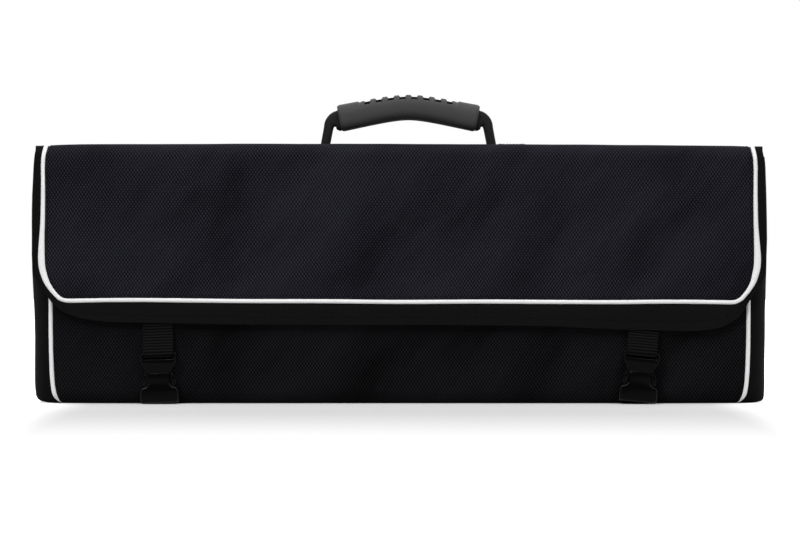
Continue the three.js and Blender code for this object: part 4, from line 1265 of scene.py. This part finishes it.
# %% Spring arms
arm_outer = curve_through([
    (5.6, -0.35), (8.5, -0.5), (9.7, -1.3), (10.5, -2.7), (11.0, -4.6), (11.3, -6.5), (11.35, -7.8),
    (10.9, -8.7), (10.0, -9.4),
])
arm_inner = curve_through([
    (8.2, -12.4), (7.8, -10.4), (7.1, -8.4), (6.7, -6.2), (6.2, -3.9), (5.2, -2.6), (4.0, -2.0),
])
arm_outline = arm_outer + [(9.8, -12.9), (9.0, -13.4)] + arm_inner + [(3.9, -0.35)]
pad_outline = curve_through([
    (8.3, -1.5), (9.4, -1.35), (10.3, -2.6), (10.9, -4.6), (11.2, -6.5), (11.2, -7.5), (10.5, -8.3),
    (9.5, -8.2), (8.7, -6.4), (8.4, -3.6),
])
for name, sign in sides.items():
    for which, facing in (("outer", sign), ("inner", -sign)):
        bm = bmesh.new()
        moulding(bm, arm_outline, -1.8, 1.8, 0.4, 2)
        moulding(bm, pad_outline, -2.9, 2.9, 0.5, 2, highlight_rim_slot)
        stood(bm, stands[name] @ Matrix.Scale(facing, 4, (1, 0, 0)))
        arm = finished(
            bm, f"{name}_{which}_spring_arm", buckle_plastic, (f"{name}_plug_{which}_arm",), 50,
        )
        arm.data.materials.append(rim_highlight_plastic)
        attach(arm, f"{name}_{which}_arm")
print("spring arms made")

# %% [markdown]
# The tab is a short hook of webbing that is sewn up the case and holds the socket by its bar.

# %% Socket tabs
tab_walk = Walk(filleted([
    (4.35, 4.0, 0), (4.35, -18.2, 1.5), (2.5, -19.4, 1.3), (0.55, -18.2, 1.5), (0.55, -16.4, 0),
], 6))
marks = [t * tab_walk.length for t in even(90)]
for name, stand in stands.items():
    points, ups = band_route(tab_walk, marks, stand, 0.4)
    ribs = [0.55 + 0.07 * math.cos(2 * math.pi * d / rib_pitch) for d in marks]
    tab = cord_piece(
        f"{name}_tab_webbing", points, ups, [9.9] * len(marks), ribs, soft_ring(6, 20), webbing,
        (f"{name}_socket_tab",),
    )
    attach(tab, "case_body")
print("socket tabs made")

# %% [markdown]
# ## Carrying handle
# The grip is moulded rubber, arched and squarer towards its ends. Seven finger ribs stand along
# its top, with a low one beside each plain end. It is swept as one ring along the arch, and the
# grooves between the ribs are then pressed into it, since that keeps the ribs' tops on the arch.
# The webbing leaves each end of the grip, turns down and is sewn flat to the lid.

# %% The grip
grip_low, grip_high = low("handle_grip"), high("handle_grip")
grip_x, grip_y = (grip_low.x + grip_high.x) / 2, (grip_low.y + grip_high.y) / 2
grip_half, last_rib, rib_step, groove_depth = 46.9, 3, 8.0, 1.3


def grip_top(u):
    """Height of the arch's back at a distance from its middle, and below it that of its belly."""
    return 208.2 - (math.sqrt((0.2 * u) ** 2 + 7.3) - 2.7)


def grip_bottom(u):
    return 191.0 - (math.sqrt((0.22 * u) ** 2 + 7.8) - 2.8)


def rib_at(u):
    """1 on a rib and on the plain ends of the grip, 0 in a groove; a low rib stands beside each end."""
    u = abs(u)
    full = ease((2.4 - abs(u - min(last_rib, round(u / rib_step)) * rib_step)) / 1.0)
    low_rib = 0.45 * ease((u - 29.2) / 0.6) + 0.25 * ease((1.3 - abs(u - 30.9)) / 0.7)
    return max(ease((u - 33.3) / 0.9), full, low_rib)


def grip_size(u):
    """Half depth and half height of the section at u."""
    end = 1 - 0.1 * max(0.0, (abs(u) - grip_half + 2) / 2) ** 2
    return (13.0 + 1.25 * (u / grip_half) ** 2) * end, (grip_top(u) - grip_bottom(u)) / 2 * end


def grip_middle(u):
    return (grip_top(u) + grip_bottom(u)) / 2


up_way = Vector((0, 0, 1))
grip_us = [grip_half * (2 * t - 1) for t in even(260)]
grip_points = [Vector((grip_x + u, grip_y, grip_middle(u))) for u in grip_us]
half_depths, half_heights = zip(*(grip_size(u) for u in grip_us))
grip_rail = rail(grip_points, [up_way] * len(grip_us), half_depths, half_heights)
bm = bmesh.new()
girth, keep = swept(bm, grip_rail, soft_ring(2.7, 40))
for vert in bm.verts:
    u = vert.co.x - grip_x
    deep, tall = grip_size(u)
    up, side = (vert.co.z - grip_middle(u)) / tall, (vert.co.y - grip_y) / deep
    squarer = 0.4 * ease((abs(u) - 12) / 28) * ease(0.4 - up)
    vert.co.y += deep * (math.copysign(abs(side) ** (1 - squarer), side) - side)
    vert.co.z -= groove_depth * (1 - rib_at(u)) * ease((up - 0.55) / 0.3)
# Faces in the grooves take the second material, the painted-shade rubber.
for face in bm.faces:
    spot = face.calc_center_median()
    u = spot.x - grip_x
    in_groove = rib_at(u) < 0.4 and abs(u) < 33.6 and spot.z > grip_top(u) - groove_depth - 2.2
    face.material_index = int(in_groove)
weave_map(bm, keep[0], keep[1], girth)
grip = finished(bm, "rubber_grip", grip_rubber, ("handle_grip", "handle_core"), 60)
grip.data.materials.append(groove_painted_shade)
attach(grip, "handle")
print("grip faces:", len(grip.data.polygons))

# %% [markdown]
# The handle's webbing is folded several times where it enters the grip, so it is thickest there
# and thins out within a centimetre.

# %% Handle legs
leg_half, leg_thick, folded_thick = 10.0, 3.1, 7.2
leg_walk = Walk(filleted([(45.4, 191.0, 0), (53.1, 191.2, 5.2), (56.6, 172.7, 0)], 12))
marks = [t * leg_walk.length for t in even(110)]
leg_heights = []
for d in marks:
    thick = part_way(leg_thick, folded_thick, math.exp(-(d / 6.0) ** 2))
    leg_heights.append(thick * (1 + 0.008 * math.sin(2 * math.pi * d / 1.3)))


def handle_leg(name, side):
    points, ups = [], []
    for d in marks:
        spot, ahead = leg_walk.at(d), leg_walk.ahead(d, 0.5)
        points.append(Vector((grip_x + side * spot.x, grip_y, spot.y)))
        ups.append(Vector((side * -ahead.y, 0, ahead.x)))
    leg = cord_piece(
        f"{name}_leg_webbing", points, ups, [leg_half] * len(marks), leg_heights, soft_ring(5, 28),
        leg_webbing, (f"{name}_handle_leg",),
    )
    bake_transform(leg)


print("handle legs", round(leg_walk.length, 1), "mm long")

# %% Handle feet
def handle_foot(name):
    foot_low, foot_high = low(f"{name}_handle_foot"), high(f"{name}_handle_foot")
    middle = (foot_low + foot_high) / 2
    points = [Vector((part_way(foot_low.x, foot_high.x, t), middle.y, middle.z)) for t in even(60)]
    foot = cord_piece(
        f"{name}_foot_webbing", points, [up_way] * len(points), [leg_half] * len(points),
        [1.0 + 0.12 * math.sin(2 * math.pi * (p.x - foot_low.x) / 1.9) for p in points],
        soft_ring(6, 24), leg_webbing, (f"{name}_handle_foot",),
    )
    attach(foot, "lid")


for name, side in sides.items():
    handle_leg(name, side)
    handle_foot(name)
print("handle legs and feet sewn to the lid")

# %% [markdown]
# ## Stitching
# Every seam is sewn, and rows of small stitches are real thread. One short lozenge of twenty
# faces is set down again and again along a route, turned to follow it.

# %% Rows of stitches
def stitches(name, points, ups, pitch=3.4, length=2.3, width=0.5, rise=0.26):
    """Stitches of a length, width and half height in millimetres, one every pitch of the route."""
    walk = Walk(points)
    bm = bmesh.new()
    count = max(1, int(walk.length / pitch))
    for k in range(count):
        distance = (k + 0.5) * walk.length / count
        spot = walk.at(distance)
        ahead = (walk.at(distance + 0.8) - walk.at(distance - 0.8)).normalized()
        near = min(range(len(points)), key=lambda j: (points[j] - spot).length_squared)
        side = ahead.cross(ups[near]).normalized()
        up = side.cross(ahead)
        turn = Matrix((ahead * length / 2, side * width / 2, up * rise)).transposed().to_4x4()
        bmesh.ops.create_icosphere(bm, subdivisions=1, radius=1, matrix=Matrix.Translation(spot) @ turn)
    return finished(bm, name, thread, (), 180)


def inset_line(line, distance):
    """The same line moved towards the middle of the panel."""
    moved = []
    for k, p in enumerate(line):
        ahead = (line[min(k + 1, len(line) - 1)] - line[max(k - 1, 0)]).normalized()
        moved.append(p + Vector((ahead.y, -ahead.x)) * distance)
    return moved


def sewn_on(name, line, place, lift):
    """Stitches along a line of the flat cloth, lift(p) millimetres out of it."""
    points = [place(p.x, p.y, lift(p)) for p in line]
    return stitches(name, points, [facing_of(place, p.x, p.y) for p in line])


seam_to_row = 3.4
cover_row = resampled(inset_line(seam_line, seam_to_row), 2.0)
cover_stitches = sewn_on(
    "top_cover_stitches", cover_row, on_top,
    lambda p: 0.05 + swell(p.x, p.y) * ease(min(seam_to_row, p.y) / 14),
)
hem_row = [
    inner.lerp(outer, 0.66) for inner, outer in zip(seam_line, edge_line) if inner.y > fold_at + 8
]
hem_stitches = sewn_on("border_hem_stitches", resampled(hem_row, 2.0), on_top, lambda p: 0.05)
for name, side in sides.items():
    row = [Vector((p.x - side * seam_to_row, p.y)) for p in body_line(side) if body_walk.at(p.y).y > 3]
    piece = sewn_on(f"{name}_body_stitches", row, on_body, lambda p: 0.1)
    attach(piece, "case_body")
print("stitched rows on the covers made")

# %% Stitches on the handle feet, the pockets and the divider
def box_and_cross(name, corner_low, corner_high, z, inset=2.2):
    """The square with a cross in it that holds webbing down."""
    x0, x1 = corner_low.x + inset, corner_high.x - inset
    y0, y1 = corner_low.y + inset, corner_high.y - inset
    rows = [(x0, y0), (x1, y0), (x1, y1), (x0, y1), (x0, y0), (x1, y1), (x1, y0), (x0, y1)]
    points = []
    for before, after in zip(rows, rows[1:]):
        points += [Vector((*before, z)).lerp(Vector((*after, z)), k / 10) for k in range(10)]
    return stitches(name, points, [up_way] * len(points), 2.2, 1.6, 0.45, 0.3)


leg_room = 6.5
for name in sides:
    foot_low, foot_high = low(f"{name}_handle_foot"), high(f"{name}_handle_foot")
    if name == "left":
        foot_high.x -= leg_room
    else:
        foot_low.x += leg_room
    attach(box_and_cross(f"{name}_foot_stitches", foot_low, foot_high, foot_high.z + 0.05), "lid")


def pocket_rows(name, node_name, sign, body):
    """One row of stitches between each two channels of a pocket sheet."""
    box_low, box_high = low(node_name), high(node_name)
    y = sewn_face(node_name, sign) + sign * (sewn_lift + 0.12)
    for k in range(1, channel_count):
        z = part_way(box_low.z, box_high.z, k / channel_count)
        points = [Vector((part_way(box_low.x, box_high.x, t), y, z)) for t in even(50)]
        piece = stitches(f"{name}_{k}", points, [Vector((0, sign, 0))] * len(points), 3.6, 2.4, 0.5, 0.25)
        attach(piece, body)


for _, name, node_name, sign, body, _ in pockets:
    pocket_rows(name, node_name, sign, body)

# %% [markdown]
# ## Cloths that cross between bodies
# The top cloth, its piping, border, lining and stitches cross from the lid to the flap over the
# fold, and the body cloth crosses from the case to the lid over the last few millimetres of the back
# wall, which is the lid's hinge. Here these pieces only have their transforms baked into their
# meshes, and the hinge's two ends are worked out; they are not blended between the bodies.

# %% Baking the pieces that cross between bodies
for piece in (top_cover, top_piping, trim_border, top_lining, cover_stitches, hem_stitches):
    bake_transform(piece)
hinge_start, hinge_end = ((0.0, back_face * MM, (lid_top - drop) * MM) for drop in (3.6, 0.5))
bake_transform(body_cover)
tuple(hinge_start)
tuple(hinge_end)

# %% [markdown]
# ## How big each cloth was cut
# Each cloth keeps the area it had on the cutting table as its cloth_area, and the border's is
# printed here. The long cloths are as long as their routes.

# %% Flat size of the border
print("border area", round(trim_border["cloth_area"], 5))

# %% [markdown]
# ## Floor, light and camera
# The photograph shows the case on pure white with a short soft shadow. The floor is pale paper
# that keeps its shadow in front of the case, and its colour paints part of that shadow: lighter at
# the case's foot and darkest about 10 to 30 cm in front. Behind the case, beyond its ends and far
# out it glows for the camera only, so it never shows a horizon; that glow is painted light over the
# case's shadow behind it and beside its ends. The room is bright above and behind and dim towards
# the camera: that keeps black cloth and plastic black from the front, and throws the shadow
# forwards. The camera itself sees plain white. Nothing here is metal or glass, so no reflection has
# to see the white too.

# %% Floor
def smooth_rise(tree, value, start, end):
    """0 up to start and 1 from end on, as a node."""
    rise = node(
        tree, "ShaderNodeMapRange", {"Value": value, "From Min": start, "From Max": end},
        interpolation_type="SMOOTHSTEP",
    )
    return rise.outputs[0]


# Paper colour along y that paints the shadow: lighter at the case's foot, darkest 10 to 30 cm in front.
shade_rows = [(0, 0.71), (0.225, 0.567), (0.4, 0.53), (0.7, 0.58), (1, 0.645)]


def paper_painted_shadow_and_glow():
    """Paper whose colour paints shadow with the shades of shade_rows along y, from the case's foot to 40 cm
    in front of it, and which glows for the camera far out, behind the case and beyond its ends, over the
    case's shadow there.
    """
    material, tree, shader = blank("paper_painted_shadow_and_glow", 1.0, 0.0)
    spot = node(tree, "ShaderNodeTexCoord").outputs["Object"]
    axes = node(tree, "ShaderNodeSeparateXYZ", {0: spot})
    across = axes.outputs["Y"]
    ahead = node(tree, "ShaderNodeMapRange", {"Value": across, "From Min": -0.03, "From Max": -0.43})
    paper = node(tree, "ShaderNodeValToRGB", {"Fac": ahead.outputs[0]})
    paper.color_ramp.interpolation = "CARDINAL"
    stops = paper.color_ramp.elements
    for place, _ in shade_rows[1:-1]:
        stops.new(place)
    for stop, (_, level) in zip(stops, shade_rows):
        stop.color = (level, level, level, 1)
    tree.links.new(paper.outputs["Color"], shader.inputs["Base Color"])
    away = node(tree, "ShaderNodeVectorMath", {0: spot}, operation="LENGTH").outputs["Value"]
    far = smooth_rise(tree, away, 0.4, 1.6)
    # Painted light: the glow for the camera covers the case's shadow behind it and beyond its ends.
    behind = smooth_rise(tree, across, 0.0, 0.14)
    aside = smooth_rise(tree, reckon(tree, "ABSOLUTE", axes.outputs["X"]), 0.2, 0.27)
    glow = reckon(tree, "MAXIMUM", reckon(tree, "MAXIMUM", far, behind), aside)
    seen = node(tree, "ShaderNodeLightPath").outputs["Is Camera Ray"]
    shader.inputs["Emission Color"].default_value = (1, 1, 1, 1)
    tree.links.new(reckon(tree, "MULTIPLY", glow, seen), shader.inputs["Emission Strength"])
    return material


bm = bmesh.new()
bmesh.ops.create_grid(bm, x_segments=4, y_segments=4, size=6)
floor_mesh = bpy.data.meshes.new("floor")
bm.to_mesh(floor_mesh)
bm.free()
floor_mesh.materials.append(paper_painted_shadow_and_glow())
floor = bpy.data.objects.new("floor", floor_mesh)
bpy.context.scene.collection.objects.link(floor)
print("floor ready")

# %% The room's light
world = bpy.data.worlds.new("white_room")
bpy.context.scene.world = world
world.use_nodes = True
sky = world.node_tree
background = sky.nodes["Background"]
background.inputs["Color"].default_value = (1, 1, 1, 1)
towards = node(sky, "ShaderNodeTexCoord").outputs["Generated"]
bright_way, middle_level, least_level = (0.21, 0.62, 0.32), 0.78, 0.12
slope = reach_along(sky, towards, bright_way)
level = reckon(sky, "MAXIMUM", reckon(sky, "ADD", slope, middle_level), least_level)
seen = node(sky, "ShaderNodeLightPath").outputs["Is Camera Ray"]
lighting = reckon(sky, "MULTIPLY", level, reckon(sky, "SUBTRACT", 1.0, seen))
sky.links.new(reckon(sky, "ADD", seen, lighting), background.inputs["Strength"])
print("room light ready")

# %% Lamps
def lamp(name, place, target, size, power):
    """A round lamp of a size in metres and a power in watts that shines at a target."""
    data = bpy.data.lights.new(name, "AREA")
    data.shape, data.size, data.energy = "DISK", size, power
    made = bpy.data.objects.new(name, data)
    made.location = place
    made.rotation_euler = (Vector(target) - Vector(place)).to_track_quat("-Z", "Y").to_euler()
    bpy.context.scene.collection.objects.link(made)


lamp("front_lamp", (-0.95, -1.6, 1.35), (0, 0, 0.1), 0.5, 15)
lamp("top_lamp", (0.05, -0.36, 0.85), (0, 0, 0.12), 0.8, 3.9)

# %% [markdown]
# The camera stands straight in front, level with the middle of the picture. Its distance sets
# how much of the rounded ends shows, and its lens makes the case fill the frame as it does in
# the photograph.

# %% Camera
scene = bpy.context.scene
scene.view_settings.view_transform = "Standard"
camera_data = bpy.data.cameras.new("camera")
camera = bpy.data.objects.new("camera", camera_data)
scene.collection.objects.link(camera)
scene.camera = camera
distance, height, aside = 1.9, 0.0917, 0.0003
frame_width, sensor = 0.5335, 36.0
camera_data.sensor_fit, camera_data.sensor_width = "HORIZONTAL", sensor
camera_data.lens = sensor * distance / frame_width
camera.location = (aside, flap_face * MM - distance, height)
camera.rotation_euler = (math.pi / 2, 0, 0)
print("lens", round(camera_data.lens, 1), "mm")
